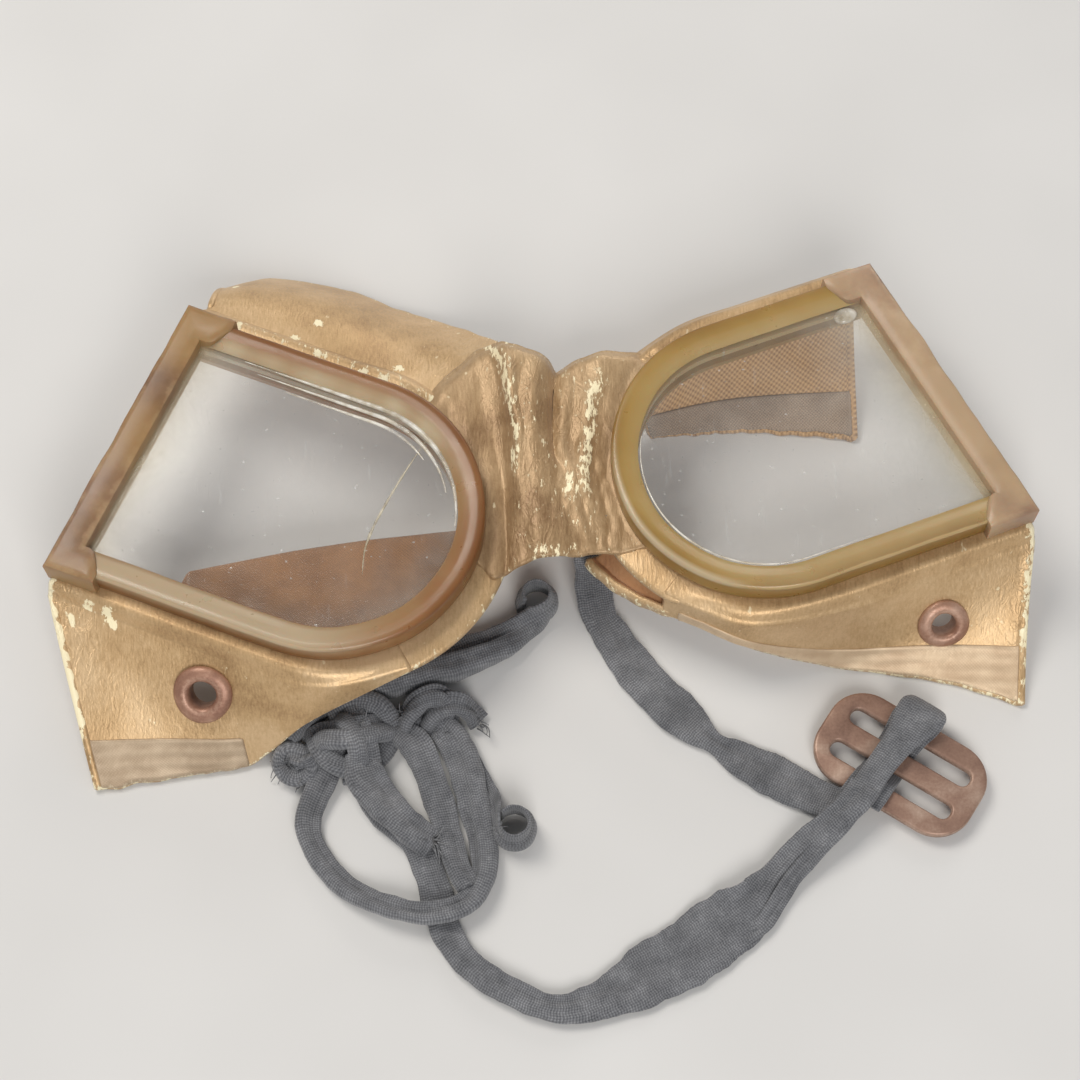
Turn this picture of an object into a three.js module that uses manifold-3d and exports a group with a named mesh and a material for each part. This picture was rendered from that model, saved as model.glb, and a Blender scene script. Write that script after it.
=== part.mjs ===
// Folding dust goggles: two D-shaped lenses in rims on a leather mask that folds at the nose,
// four leather skirts that swing at their creases, and an elastic strap with a slide buckle.
// Lengths are millimetres, angles are degrees, the table is at z = 0 and +Z is up.
// Each half is drawn in its own frame: x from nose to temple, y up the lens, z out of the lens.
import * as THREE from "three";
import Module from "manifold-3d";

const wasm = await Module();
wasm.setup();

// Clearances
const GAP = 0.3;
const CURVE_GAP = 0.5; // between curved sheets and flat pieces beside them

// Lens and rim
const LENS_HEIGHT = 20; // lens mid-plane above the table
const LENS_THICKNESS = 1.2;
const RIM_RADIUS = 25.5; // nose end of the rim, to its outer edge
const RIM_WIDTH = 4.6;
const RIM_FRONT = 2.4; // front face above the lens mid-plane
const RIM_BACK = 2.5; // back face below the lens mid-plane
const RIM_ROUND = 0.9; // rounding of the rim's front edges
const LENS_SEAT = 2.4; // depth of the lens edge inside the rim
const ARC_STEPS = 28;
const CUT = 1; // how far a cutting body runs past the face it cuts

// Temple bar
const BAR_WIDTH = 5;
const BAR_WALL = 1.2; // how far the bar stands outside the rim
const BAR_FRONT = 3.2;
const BAR_BACK = 2.8;
const BAR_LEG = 9; // length of the ends that wrap the corners

// Leather mask and back rim
const LEATHER = 1.2;
const TOP_MARGIN = 5; // leather outside the rim along its top edge
const LOW_MARGIN = 3.3; // leather outside the rim along its bottom edge
const MASK_LAP = 3.4; // leather hidden under the rim
const TEMPLE_STOP = 1; // mask ends this far inside the bar's outer edge
const BACK_RIM = 1.2;
const BACK_RIM_INSET = 0.6;
const MASK_TOP = -BAR_BACK - GAP;
const MASK_LOW = MASK_TOP - LEATHER;
const MASK_MID = MASK_TOP - LEATHER / 2;
const BACK_TOP = MASK_LOW - GAP;
const BACK_LOW = BACK_TOP - BACK_RIM;

// Skirts
const CREASE_DROP = 1.2; // crease line below the mask
const CREASE = MASK_LOW - CREASE_DROP;
const TOP_CREASE = RIM_RADIUS + TOP_MARGIN;
const LOW_CREASE = -(RIM_RADIUS + LOW_MARGIN);
const SKIRT_FOOT = LEATHER / 2 - LENS_HEIGHT; // free edge of a skirt on the table
const SKIRT_COLUMNS = 18;
const SKIRT_ROWS = 8;
const HEM = 0.8;
const HEM_COLUMNS = 10;
const HEM_ROWS = 3;
// A skirt's crease is given by x from temple to nose. Its edge is x, reach out from the crease and
// lift above the table. The bow lifts its middle. A hem or vent is placed by shares of its surface.
const LEFT_UPPER = {
  crease: [37, 25.5, 14, 2.5, -9],
  edge: [[39, 12, 0], [31, 17.4, 0], [15, 18.9, 0.4], [2.5, 17.4, 2.6], [-9, 14.6, 8]],
  bow: 1.2,
  hem: { across: [0.06, 0.94], down: [0.66, 0.88], face: -1 },
};
const LEFT_LOWER = {
  crease: [39.5, 25, 8, -9],
  edge: [[22, 24.4, 0], [11, 17.8, 0], [0, 11.2, 0], [-8.5, 2.7, 8.4]],
  bow: 1.2,
  hem: { across: [0.03, 0.64], down: [0.8, 0.96], face: 1 },
  vent: [0.56, 0.38],
};
const RIGHT_UPPER = {
  crease: [30, 10, -13],
  edge: [[22, -25.2, 0], [7, -18, 0], [-12.1, -12, 0]],
  bow: -0.8,
  hem: { across: [0.04, 0.96], down: [0.74, 0.94], face: 1 },
};
const RIGHT_LOWER = {
  crease: [38, 20, 4, -13],
  edge: [[28.6, 22, 0], [16.2, 12.5, 0], [0.9, 4.5, 0], [-13, 1.2, 0]],
  bow: -2,
  hem: { across: [0.03, 0.5], down: [0.82, 0.96], face: 1 },
  vent: [0.3, 0.4],
};

// Vent eyelets
const VENT_HOLE = 2.3;
const VENT_BARREL = 2.75;
const VENT_FLANGE = 5;
const VENT_FLANGE_THICKNESS = 0.9;
const VENT_WASHER = 4.4;
const VENT_WASHER_THICKNESS = 0.7;
const VENT_STEPS = 28;
const VENT_CLEAR = 0.75; // room between the flanges and the bent leather

// Nose bridge
const NOSE_ROWS = 16;
const NOSE_COLUMNS = 14;
const NOSE_ARCH = 2;
// How far the bridge's top edge reaches past the masks, at even shares from the left rim to the right
const NOSE_BROW = [[0], [3], [7], [7.2], [5.8], [4.2], [1.4], [2.4], [3.2], [1.6], [0]];
// Angles round each rim where the bridge starts at the bottom and ends at the top
const NOSE_LEFT = [172, 102];
const NOSE_RIGHT = [197, 117];
const PLEAT_RISE = 2.6;
const PLEAT_PLACE = 0.4; // share of the way from the left rim to the right rim
const PLEAT_WIDTH = 0.13; // in the same share

// Rolled lip at the nose end of the right lower edge
const LIP_ANGLES = [236, 190];
const LIP_RADIUS = RIM_RADIUS + LOW_MARGIN - 1.5;
const LIP_FLARE = 3;
const LIP_DROP = 8;
const LIP_COLUMNS = 12;
const LIP_ROWS = 4;

// Lining flap under the left lens
const LINING = 1;
const LINING_INSET = 3; // inside the rim's outer edge
const LINING_RADIUS = RIM_RADIUS - LINING_INSET;
const LINING_TEMPLE = 20;
const LINING_TEMPLE_EDGE = -16.3;
const LINING_NOSE_ANGLE = 160;

// Strap and slide buckle
const STRAP = 1.4; // thickness of the elastic
const STRAP_LIFT = 0.4; // above the table
const STRAP_LOW = STRAP_LIFT + STRAP / 2;
const STRAP_PLAY = 0.4; // extra room where one stretch lies over another
const STRAP_CROSS = STRAP_LOW + STRAP + GAP + STRAP_PLAY;
const STRAP_SAMPLES = 40;
const CURL_RADIUS = 3.4;
const CURL_HEIGHT = 7;
const CURL_STEPS = 24;
const NOSE_CURL = { centre: [-0.6, -8.4], from: -60, to: 210 };
const LOOSE_CURL = { centre: [-2.8, -49], from: 30, to: 330 };
const KNOT_CENTRE = [-31.2, -33.2];
const KNOT_SIZE = [7.4, 5, 3.6];
const KNOT_STEPS = 20;
const BUCKLE_CENTRE = [60.2, -37.7];
const BUCKLE_TURN = -32.8;
const BUCKLE_LENGTH = 29;
const BUCKLE_BAR = 3.8;
const BUCKLE_SLOT = 2.9;
const BUCKLE_SLOT_LENGTH = 22.6;
const BUCKLE_THICKNESS = 1.6;
const BUCKLE_LOW = 1.5; // underside above the table
const BUCKLE_CORNER = 6.5;
const BUCKLE_SLOT_CORNER = 0.9;
const CORNER_STEPS = 7;
const WEAVE = 0.7; // strap thickness in the slots
const WEAVE_WIDTH = 8;
const WEAVE_OFFSET = -2; // along the bars, from the buckle's middle
const WEAVE_REACH = 10.6; // fold beyond the upper bar
const WEAVE_START = 9.6; // below the lower bar
const WEAVE_PLAY = 0.1; // extra room above and below the bars
const MITRE_LIMIT = 0.7; // keeps the weave's bends from growing too thick
// Stretches of strap as they lie: each stop is x, y, height of the strap's middle and its width
const LEFT_RUN = [
  [-43, -33.4, 3.7, 5],
  [-40.2, -29, 1.8, 5],
  [-35.6, -25.8, STRAP_LOW, 6],
  [-24, -22.4, STRAP_LOW, 7],
  [-13.6, -19.2, STRAP_LOW, 7],
  [-5, -15.8, STRAP_LOW, 6],
  [1.3, -12.6, STRAP_LOW, 5],
];
const LOOP = [
  [-34.9, -37.3, STRAP_LOW, 5],
  [-38.5, -47.3, STRAP_LOW, 5],
  [-37, -52.5, STRAP_LOW, 5],
  [-32, -58.4, STRAP_LOW, 5],
  [-24.5, -62.3, STRAP_CROSS, 5],
  [-18, -63.5, STRAP_CROSS, 5],
  [-12.3, -61.8, STRAP_CROSS, 5],
  [-9.5, -57.6, STRAP_CROSS, 5],
  [-9.2, -52.5, STRAP_LOW, 5],
  [-11.3, -43, STRAP_LOW, 6],
  [-14.3, -34, STRAP_LOW, 6],
  [-18.5, -29, STRAP_LOW, 5],
];
const FRONT_RUN = [
  [-29.7, -39.3, STRAP_LOW, 6],
  [-25.8, -45.2, STRAP_LOW, 7],
  [-20.7, -50.4, STRAP_LOW, 6],
  [-18.1, -56.4, STRAP_LOW, 6],
  [-16.4, -62.3, STRAP_LOW, 6],
  [-14.7, -67.4, STRAP_LOW, 6],
  [-10.5, -72.3, STRAP_LOW, 6],
  [-3.2, -76.8, STRAP_LOW, 6],
  [3.2, -78.8, STRAP_LOW, 6],
  [9.7, -77.3, STRAP_LOW, 9],
  [17.8, -73.2, STRAP_LOW, 13],
  [26.1, -68.2, STRAP_LOW, 13],
  [33, -63, STRAP_LOW, 10],
];
const TAIL_RUN = [
  [34.6, -61.6, STRAP_LOW, 9],
  [39, -56.4, STRAP_LOW, 8],
  [44, -51.4, 2.4, 7],
  [48.6, -48.6, 4.3, 6],
  [52.5, -46.4, 5.3, 6],
];
const RIGHT_RUN = [
  [11.5, -12.9, STRAP_LOW, 7],
  [17, -21.2, STRAP_LOW, 8],
  [25.4, -30.2, STRAP_LOW, 8],
  [32, -35.4, STRAP_LOW, 8],
  [38.7, -39, STRAP_LOW, 8],
  [44.5, -42, 1.2, 7],
  [49.6, -44.6, 2.2, 5],
];
const RIGHT_END = [
  [10.6, -11.5, STRAP_LOW, 7],
  [9.7, -8.2, 2, 7],
  [9.4, -4.5, 5.2, 7],
];

// The two halves as they lie in the photograph
const LEFT = makeHalf({ side: -1, yaw: 21, centre: [-34.6, 0.4], topReach: 38.1, lowReach: 40.4 });
const RIGHT = makeHalf({ side: 1, yaw: 20.5, centre: [37.4, 11.3], topReach: 31.3, lowReach: 38.9 });

// Materials
const CELLULOID = { color: 0xb07c3c, roughness: 0.3, metalness: 0 };
const BAR_TAN = { color: 0xa9814f, roughness: 0.5, metalness: 0 };
const CLEAR = { color: 0xdfe4e0, roughness: 0.1, metalness: 0, transparent: true, opacity: 0.25 };
const HIDE = { color: 0xb08a50, roughness: 0.6, metalness: 0 };
const TAPE = { color: 0x8d7656, roughness: 0.9, metalness: 0 };
const BROWN = { color: 0x8a6444, roughness: 0.7, metalness: 0 };
const COPPER = { color: 0x8a5a48, roughness: 0.45, metalness: 0.6 };
const ELASTIC = { color: 0x4b4c50, roughness: 0.95, metalness: 0 };

const group = new THREE.Group();

function radians(angle) {
  return THREE.MathUtils.degToRad(angle);
}

function makeHalf({ side, yaw, centre, topReach, lowReach }) {
  const c = Math.cos(radians(yaw));
  const s = Math.sin(radians(yaw));
  const top = RIM_RADIUS + BAR_WALL;
  const lean = (topReach - lowReach) / (2 * top);
  const middle = (topReach + lowReach) / 2;
  const slant = Math.hypot(1, lean);
  return {
    side,
    place: (x, y, z) =>
      new THREE.Vector3(centre[0] + side * (x * c - y * s), centre[1] + x * s + y * c, LENS_HEIGHT + z),
    // x of a line parallel to the temple edge, inset from the bar's outer face, at height y
    temple: (y, inset) => middle + lean * y - inset * slant,
  };
}

// A closed mesh from corner points and triangles, turned so that its faces look outward
function closedMesh(points, triangles) {
  let volume = 0;
  const cross = new THREE.Vector3();
  for (const [a, b, c] of triangles) {
    volume += points[a].dot(cross.crossVectors(points[b], points[c]));
  }
  const index = triangles.flatMap(([a, b, c]) => (volume < 0 ? [a, c, b] : [a, b, c]));
  const geometry = new THREE.BufferGeometry();
  const numbers = points.flatMap((p) => p.toArray());
  geometry.setAttribute("position", new THREE.Float32BufferAttribute(numbers, 3));
  geometry.setIndex(index);
  return geometry;
}

function triangulate(outline) {
  const flat = outline.map(([x, y]) => new THREE.Vector2(x, y));
  return THREE.ShapeUtils.triangulateShape(flat, []);
}

// Closed rings of points joined along their length, with both ends capped by the outline's triangles
function loft(rings, capTriangles) {
  const count = rings[0].length;
  const triangles = [];
  for (let i = 0; i + 1 < rings.length; i += 1) {
    for (let j = 0; j < count; j += 1) {
      const k = (j + 1) % count;
      const a = i * count + j;
      const b = i * count + k;
      triangles.push([a, b, b + count], [a, b + count, a + count]);
    }
  }
  const last = (rings.length - 1) * count;
  for (const [a, b, c] of capTriangles) {
    triangles.push([c, b, a], [last + a, last + b, last + c]);
  }
  return orient(rings.flat(), triangles, count, capTriangles);
}

// Caps follow the winding of the sides: the first cap edge decides
function orient(points, triangles, count, capTriangles) {
  const sides = triangles.length - 2 * capTriangles.length;
  const [a, b] = capEdge(capTriangles, count);
  if ((a + 1) % count === b) {
    return closedMesh(points, triangles);
  }
  const turned = triangles.map((t, i) => (i < sides ? t : [t[0], t[2], t[1]]));
  return closedMesh(points, turned);
}

function capEdge(capTriangles, count) {
  for (const t of capTriangles) {
    for (let i = 0; i < 3; i += 1) {
      const a = t[i];
      const b = t[(i + 1) % 3];
      if ((a + 1) % count === b || (b + 1) % count === a) {
        return [a, b];
      }
    }
  }
  return [0, 1];
}

// A straight prism on an outline in the x, y plane
function prism(outline, low, high, place) {
  const rings = [low, high].map((z) => outline.map(([x, y]) => place(x, y, z)));
  return loft(rings, triangulate(outline));
}

function plain(x, y, z) {
  return new THREE.Vector3(x, y, z);
}

// A curved sheet of even thickness about a grid of mid-surface points
function sheet(grid, thickness) {
  const rows = grid.length;
  const columns = grid[0].length;
  const normals = grid.map((row, i) => row.map((point, j) => normalAt(grid, i, j)));
  const shifted = (sign) =>
    grid.flatMap((row, i) =>
      row.map((point, j) => point.clone().addScaledVector(normals[i][j], (sign * thickness) / 2)));
  const points = [...shifted(1), ...shifted(-1)];
  const back = rows * columns;
  const triangles = [];
  for (let i = 0; i + 1 < rows; i += 1) {
    for (let j = 0; j + 1 < columns; j += 1) {
      const a = i * columns + j;
      const b = a + columns;
      triangles.push([a, b, b + 1], [a, b + 1, a + 1]);
      triangles.push([back + a, back + b + 1, back + b], [back + a, back + a + 1, back + b + 1]);
    }
  }
  const rim = [];
  for (let j = 0; j + 1 < columns; j += 1) {
    rim.push([j, j + 1], [(rows - 1) * columns + j + 1, (rows - 1) * columns + j]);
  }
  for (let i = 0; i + 1 < rows; i += 1) {
    rim.push([(i + 1) * columns, i * columns], [(i + 1) * columns - 1, (i + 2) * columns - 1]);
  }
  for (const [a, b] of rim) {
    triangles.push([a, b, back + b], [a, back + b, back + a]);
  }
  return closedMesh(points, triangles);
}

function normalAt(grid, i, j) {
  const down = grid[Math.min(i + 1, grid.length - 1)][j].clone().sub(grid[Math.max(i - 1, 0)][j]);
  const along = grid[i][Math.min(j + 1, grid[0].length - 1)].clone().sub(grid[i][Math.max(j - 1, 0)]);
  return down.cross(along).normalize();
}

function solid(geometry) {
  const mesh = new wasm.Mesh({
    numProp: 3,
    vertProperties: new Float32Array(geometry.attributes.position.array),
    triVerts: new Uint32Array(geometry.index.array),
  });
  return new wasm.Manifold(mesh);
}

function geometryOf(body, place) {
  const mesh = body.getMesh();
  const points = [];
  for (let i = 0; i < mesh.vertProperties.length; i += mesh.numProp) {
    points.push(place(mesh.vertProperties[i], mesh.vertProperties[i + 1], mesh.vertProperties[i + 2]));
  }
  const triangles = [];
  for (let i = 0; i < mesh.triVerts.length; i += 3) {
    triangles.push([mesh.triVerts[i], mesh.triVerts[i + 1], mesh.triVerts[i + 2]]);
  }
  return closedMesh(points, triangles);
}

function add(name, geometry, look) {
  const mesh = new THREE.Mesh(geometry, new THREE.MeshStandardMaterial(look));
  mesh.name = name;
  group.add(mesh);
}

// Outlines in a half's own frame
function arc(radiusAt, from, to) {
  const points = [];
  for (let i = 0; i <= ARC_STEPS; i += 1) {
    const share = i / ARC_STEPS;
    const angle = radians(from + (to - from) * share);
    const radius = radiusAt(share);
    points.push([radius * Math.cos(angle), radius * Math.sin(angle)]);
  }
  return points;
}

// The D shape, grown from the rim's outer edge and inset from the bar's outer face
function lensShape(half, grow, inset) {
  const r = RIM_RADIUS + grow;
  const nose = arc(() => r, 90, 270);
  return [[half.temple(-r, inset), -r], [half.temple(r, inset), r], ...nose];
}

// A strip that follows the D shape but stays open at the temple
function openStrip(half, outer, inner, inset) {
  const top = RIM_RADIUS + outer[0];
  const low = RIM_RADIUS + outer[1];
  const r = RIM_RADIUS + inner;
  const outside = arc((share) => top + (low - top) * share, 90, 270);
  const inside = arc(() => r, 270, 90);
  return [
    [half.temple(top, inset), top],
    ...outside,
    [half.temple(-low, inset), -low],
    [half.temple(-r, inset), -r],
    ...inside,
    [half.temple(r, inset), r],
  ];
}

function rimBody(half) {
  const seat = -(LENS_SEAT - GAP);
  const groove = LENS_THICKNESS / 2 + GAP;
  const profile = [
    [-RIM_WIDTH, groove],
    [-RIM_WIDTH, RIM_FRONT - RIM_ROUND],
    [-RIM_WIDTH + RIM_ROUND, RIM_FRONT],
    [-RIM_ROUND, RIM_FRONT],
    [0, RIM_FRONT - RIM_ROUND],
    [0, -RIM_BACK],
    [-RIM_WIDTH, -RIM_BACK],
    [-RIM_WIDTH, -groove],
    [seat, -groove],
    [seat, groove],
  ];
  const clear = BAR_WIDTH + GAP;
  const inner = RIM_RADIUS - RIM_WIDTH;
  const topEnd = Math.min(half.temple(RIM_RADIUS, clear), half.temple(inner, clear));
  const lowEnd = Math.min(half.temple(-RIM_RADIUS, clear), half.temple(-inner, clear));
  const stations = [[topEnd, RIM_RADIUS, 0, 1]];
  for (const [x, y] of arc(() => RIM_RADIUS, 90, 270)) {
    stations.push([x, y, x / RIM_RADIUS, y / RIM_RADIUS]);
  }
  stations.push([lowEnd, -RIM_RADIUS, 0, -1]);
  const rings = stations.map(([x, y, nx, ny]) =>
    profile.map(([a, b]) => half.place(x + nx * a, y + ny * a, b)));
  return loft(rings, triangulate(profile));
}

function barBody(half) {
  const r = RIM_RADIUS + BAR_WALL;
  const inner = RIM_RADIUS - RIM_WIDTH;
  const topEnd = half.temple(r, 0) - BAR_LEG;
  const lowEnd = half.temple(-r, 0) - BAR_LEG;
  const outline = [
    [half.temple(-r, 0), -r],
    [half.temple(r, 0), r],
    [topEnd, r],
    [topEnd, inner],
    [half.temple(inner, BAR_WIDTH), inner],
    [half.temple(-inner, BAR_WIDTH), -inner],
    [lowEnd, -inner],
    [lowEnd, -r],
  ];
  const block = solid(prism(outline, -BAR_BACK, BAR_FRONT, plain));
  const rimShape = lensShape(half, GAP, BAR_WIDTH);
  const rimRoom = solid(prism(rimShape, -BAR_BACK - CUT, RIM_FRONT + GAP, plain));
  const groove = LENS_THICKNESS / 2 + GAP;
  const lensRoomShape = lensShape(half, GAP - LENS_SEAT, BAR_WALL + GAP);
  const lensRoom = solid(prism(lensRoomShape, -groove, groove, plain));
  return geometryOf(block.subtract(rimRoom).subtract(lensRoom), half.place);
}

function maskBody(half) {
  const outline = openStrip(half, [TOP_MARGIN, LOW_MARGIN], -MASK_LAP, TEMPLE_STOP);
  return prism(outline, MASK_LOW, MASK_TOP, half.place);
}

function backRimBody(half) {
  const outline = openStrip(half, [-BACK_RIM_INSET, -BACK_RIM_INSET], -RIM_WIDTH, TEMPLE_STOP);
  return prism(outline, BACK_LOW, BACK_TOP, half.place);
}

// A point at a share of the way along a row of points
function along(points, share) {
  const step = share * (points.length - 1);
  const i = Math.min(Math.floor(step), points.length - 2);
  const rest = step - i;
  return points[i].map((value, k) => value + (points[i + 1][k] - value) * rest);
}

// A leather skirt between its crease and its free edge
function skirtSurface(half, creaseY, skirt) {
  const out = Math.sign(creaseY);
  const crease = skirt.crease.map((x) => [x, creaseY, CREASE]);
  const edge = skirt.edge.map(([x, reach, lift]) => [x, creaseY + out * reach, SKIRT_FOOT + lift]);
  return (u, t) => {
    const a = along(crease, u);
    const b = along(edge, u);
    const [x, y, z] = a.map((value, k) => value + (b[k] - value) * t);
    return half.place(x, y, z + skirt.bow * Math.sin(Math.PI * t));
  };
}

function surfaceGrid(surface, columns, rows, [u0, u1], [t0, t1]) {
  const grid = [];
  for (let i = 0; i <= rows; i += 1) {
    const t = t0 + ((t1 - t0) * i) / rows;
    const row = [];
    for (let j = 0; j <= columns; j += 1) {
      row.push(surface(u0 + ((u1 - u0) * j) / columns, t));
    }
    grid.push(row);
  }
  return grid;
}

function skirtBody(surface) {
  return sheet(surfaceGrid(surface, SKIRT_COLUMNS, SKIRT_ROWS, [0, 1], [0, 1]), LEATHER);
}

// A turned hem on one face of a skirt: face is +1 for the upper face and -1 for the lower one
function hemBody(surface, { across, down, face }) {
  const grid = surfaceGrid(surface, HEM_COLUMNS, HEM_ROWS, across, down);
  const lift = LEATHER / 2 + CURVE_GAP + HEM / 2;
  const raised = grid.map((row, i) =>
    row.map((point, j) => {
      const normal = normalAt(grid, i, j);
      const sign = Math.sign(normal.z) * face;
      return point.clone().addScaledVector(normal, sign * lift);
    }));
  return sheet(raised, HEM);
}

// The frame of an eyelet on a skirt, with its third axis out of the upper face
function ventFrame(surface, u, t) {
  const step = 0.01;
  const middle = surface(u, t);
  const x = surface(u + step, t).sub(surface(u - step, t)).normalize();
  const down = surface(u, t + step).sub(surface(u, t - step));
  const z = x.clone().cross(down).normalize();
  if (z.z < 0) {
    z.negate();
  }
  const y = z.clone().cross(x);
  const frame = new THREE.Matrix4().makeBasis(x, y, z).setPosition(middle);
  return (px, py, pz) => new THREE.Vector3(px, py, pz).applyMatrix4(frame);
}

// A turned ring from a closed profile of radius and height
function turned(profile, place) {
  const count = profile.length;
  const points = [];
  const triangles = [];
  for (let i = 0; i < VENT_STEPS; i += 1) {
    const angle = (2 * Math.PI * i) / VENT_STEPS;
    for (const [r, z] of profile) {
      points.push(place(r * Math.cos(angle), r * Math.sin(angle), z));
    }
    const next = ((i + 1) % VENT_STEPS) * count;
    for (let j = 0; j < count; j += 1) {
      const k = (j + 1) % count;
      triangles.push([i * count + j, i * count + k, next + k], [i * count + j, next + k, next + j]);
    }
  }
  return closedMesh(points, triangles);
}

function disc(radius, low, high, place) {
  const outline = [];
  for (let i = 0; i < VENT_STEPS; i += 1) {
    const angle = (2 * Math.PI * i) / VENT_STEPS;
    outline.push([radius * Math.cos(angle), radius * Math.sin(angle)]);
  }
  return prism(outline, low, high, place);
}

function addVent(name, surface, u, t) {
  const place = ventFrame(surface, u, t);
  const face = LEATHER / 2 + VENT_CLEAR;
  const crown = face + VENT_FLANGE_THICKNESS;
  const tail = -face - VENT_WASHER_THICKNESS;
  const soft = VENT_FLANGE_THICKNESS / 3;
  const eyelet = [
    [VENT_HOLE, tail],
    [VENT_BARREL, tail],
    [VENT_BARREL, face],
    [VENT_FLANGE, face],
    [VENT_FLANGE, crown - soft],
    [VENT_FLANGE - soft, crown],
    [VENT_HOLE + soft, crown],
    [VENT_HOLE, crown - soft],
  ];
  add(`${name}_eyelet`, turned(eyelet, place), COPPER);
  const washer = [
    [VENT_BARREL + GAP, tail],
    [VENT_WASHER, tail],
    [VENT_WASHER, -face],
    [VENT_BARREL + GAP, -face],
  ];
  add(`${name}_eyelet_washer`, turned(washer, place), COPPER);
  return solid(disc(VENT_BARREL + GAP, -LEATHER * 2, LEATHER * 2, place));
}

function addHalf(name, half) {
  const lens = lensShape(half, -LENS_SEAT, BAR_WALL + GAP * 2);
  add(`${name}_lens`, prism(lens, -LENS_THICKNESS / 2, LENS_THICKNESS / 2, half.place), CLEAR);
  add(`${name}_lens_rim`, rimBody(half), CELLULOID);
  add(`${name}_temple_bar`, barBody(half), BAR_TAN);
  add(`${name}_mask`, maskBody(half), HIDE);
  add(`${name}_back_rim`, backRimBody(half), CELLULOID);
}

function addLining(half) {
  const nose = arc(() => LINING_RADIUS, LINING_NOSE_ANGLE, 270);
  const outline = [[LINING_TEMPLE, -LINING_RADIUS], [LINING_TEMPLE, LINING_TEMPLE_EDGE], ...nose];
  const top = BACK_LOW - GAP;
  add("left_lining_flap", prism(outline, top - LINING, top, half.place), BROWN);
}

function addSkirt(name, surface, skirt, vent) {
  const body = solid(skirtBody(surface));
  const cut = vent ? body.subtract(addVent(vent, surface, ...skirt.vent)) : body;
  add(`${name}_skirt`, geometryOf(cut, plain), HIDE);
  add(`${name}_hem`, hemBody(surface, skirt.hem), TAPE);
}

function addSkirts() {
  addSkirt("left_upper", skirtSurface(LEFT, TOP_CREASE, LEFT_UPPER), LEFT_UPPER);
  addSkirt("left_lower", skirtSurface(LEFT, LOW_CREASE, LEFT_LOWER), LEFT_LOWER, "left");
  addSkirt("right_upper", skirtSurface(RIGHT, TOP_CREASE, RIGHT_UPPER), RIGHT_UPPER);
  addSkirt("right_lower", skirtSurface(RIGHT, LOW_CREASE, RIGHT_LOWER), RIGHT_LOWER, "right");
}

// The rolled lip of leather at the nose end of the right lower edge
function addNoseLip() {
  const [from, to] = LIP_ANGLES;
  const surface = (u, t) => {
    const angle = radians(from + (to - from) * u);
    const r = LIP_RADIUS + LIP_FLARE * u * t;
    return RIGHT.place(r * Math.cos(angle), r * Math.sin(angle), CREASE - LIP_DROP * t);
  };
  const grid = surfaceGrid(surface, LIP_COLUMNS, LIP_ROWS, [0, 1], [0, 1]);
  add("right_nose_lip", sheet(grid, LEATHER), HIDE);
}

// Leather from rim to rim over the nose, with a raised pleat
function addNose() {
  const marginAt = (angle) => TOP_MARGIN + ((LOW_MARGIN - TOP_MARGIN) * (angle - 90)) / 180;
  const edge = (half, angle) => {
    const r = RIM_RADIUS + marginAt(angle) + CURVE_GAP;
    return half.place(r * Math.cos(radians(angle)), r * Math.sin(radians(angle)), MASK_MID);
  };
  const grid = [];
  for (let i = 0; i <= NOSE_ROWS; i += 1) {
    const share = i / NOSE_ROWS;
    const left = edge(LEFT, NOSE_LEFT[0] + (NOSE_LEFT[1] - NOSE_LEFT[0]) * share);
    const right = edge(RIGHT, NOSE_RIGHT[0] + (NOSE_RIGHT[1] - NOSE_RIGHT[0]) * share);
    const row = [];
    for (let j = 0; j <= NOSE_COLUMNS; j += 1) {
      const s = j / NOSE_COLUMNS;
      const point = left.clone().lerp(right, s);
      const pleat = Math.exp(-(((s - PLEAT_PLACE) / PLEAT_WIDTH) ** 2));
      point.y += along(NOSE_BROW, s)[0] * share ** 2;
      point.z += NOSE_ARCH * Math.sin(Math.PI * s) + PLEAT_RISE * pleat;
      row.push(point);
    }
    grid.push(row);
  }
  add("nose_bridge", sheet(grid, LEATHER), HIDE);
}

// A flat stretch of strap through its stops
function addRibbon(name, stops) {
  const knots = stops.map(([x, y, z]) => new THREE.Vector3(x, y, z));
  const curve = new THREE.CatmullRomCurve3(knots, false, "centripetal");
  const rings = [];
  for (let i = 0; i <= STRAP_SAMPLES; i += 1) {
    const share = i / STRAP_SAMPLES;
    const point = curve.getPoint(share);
    const tangent = curve.getTangent(share);
    const side = new THREE.Vector3(-tangent.y, tangent.x, 0).normalize();
    const width = along(stops, share)[3] / 2;
    const corner = (w, h) =>
      point.clone().addScaledVector(side, w * width).setZ(point.z + (h * STRAP) / 2);
    rings.push([corner(-1, -1), corner(1, -1), corner(1, 1), corner(-1, 1)]);
  }
  add(name, loft(rings, [[0, 1, 2], [0, 2, 3]]), ELASTIC);
}

// A stretch of strap curled up on its edge
function addCurl(name, { centre, from, to }) {
  const [x, y] = centre;
  const ring = (angle) => {
    const c = Math.cos(radians(angle));
    const s = Math.sin(radians(angle));
    const corner = (r, z) => new THREE.Vector3(x + r * c, y + r * s, z);
    const inner = CURL_RADIUS - STRAP;
    const top = STRAP_LIFT + CURL_HEIGHT;
    return [
      corner(inner, STRAP_LIFT),
      corner(CURL_RADIUS, STRAP_LIFT),
      corner(CURL_RADIUS, top),
      corner(inner, top),
    ];
  };
  const rings = [];
  for (let i = 0; i <= CURL_STEPS; i += 1) {
    rings.push(ring(from + ((to - from) * i) / CURL_STEPS));
  }
  add(name, loft(rings, [[0, 1, 2], [0, 2, 3]]), ELASTIC);
}

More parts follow.
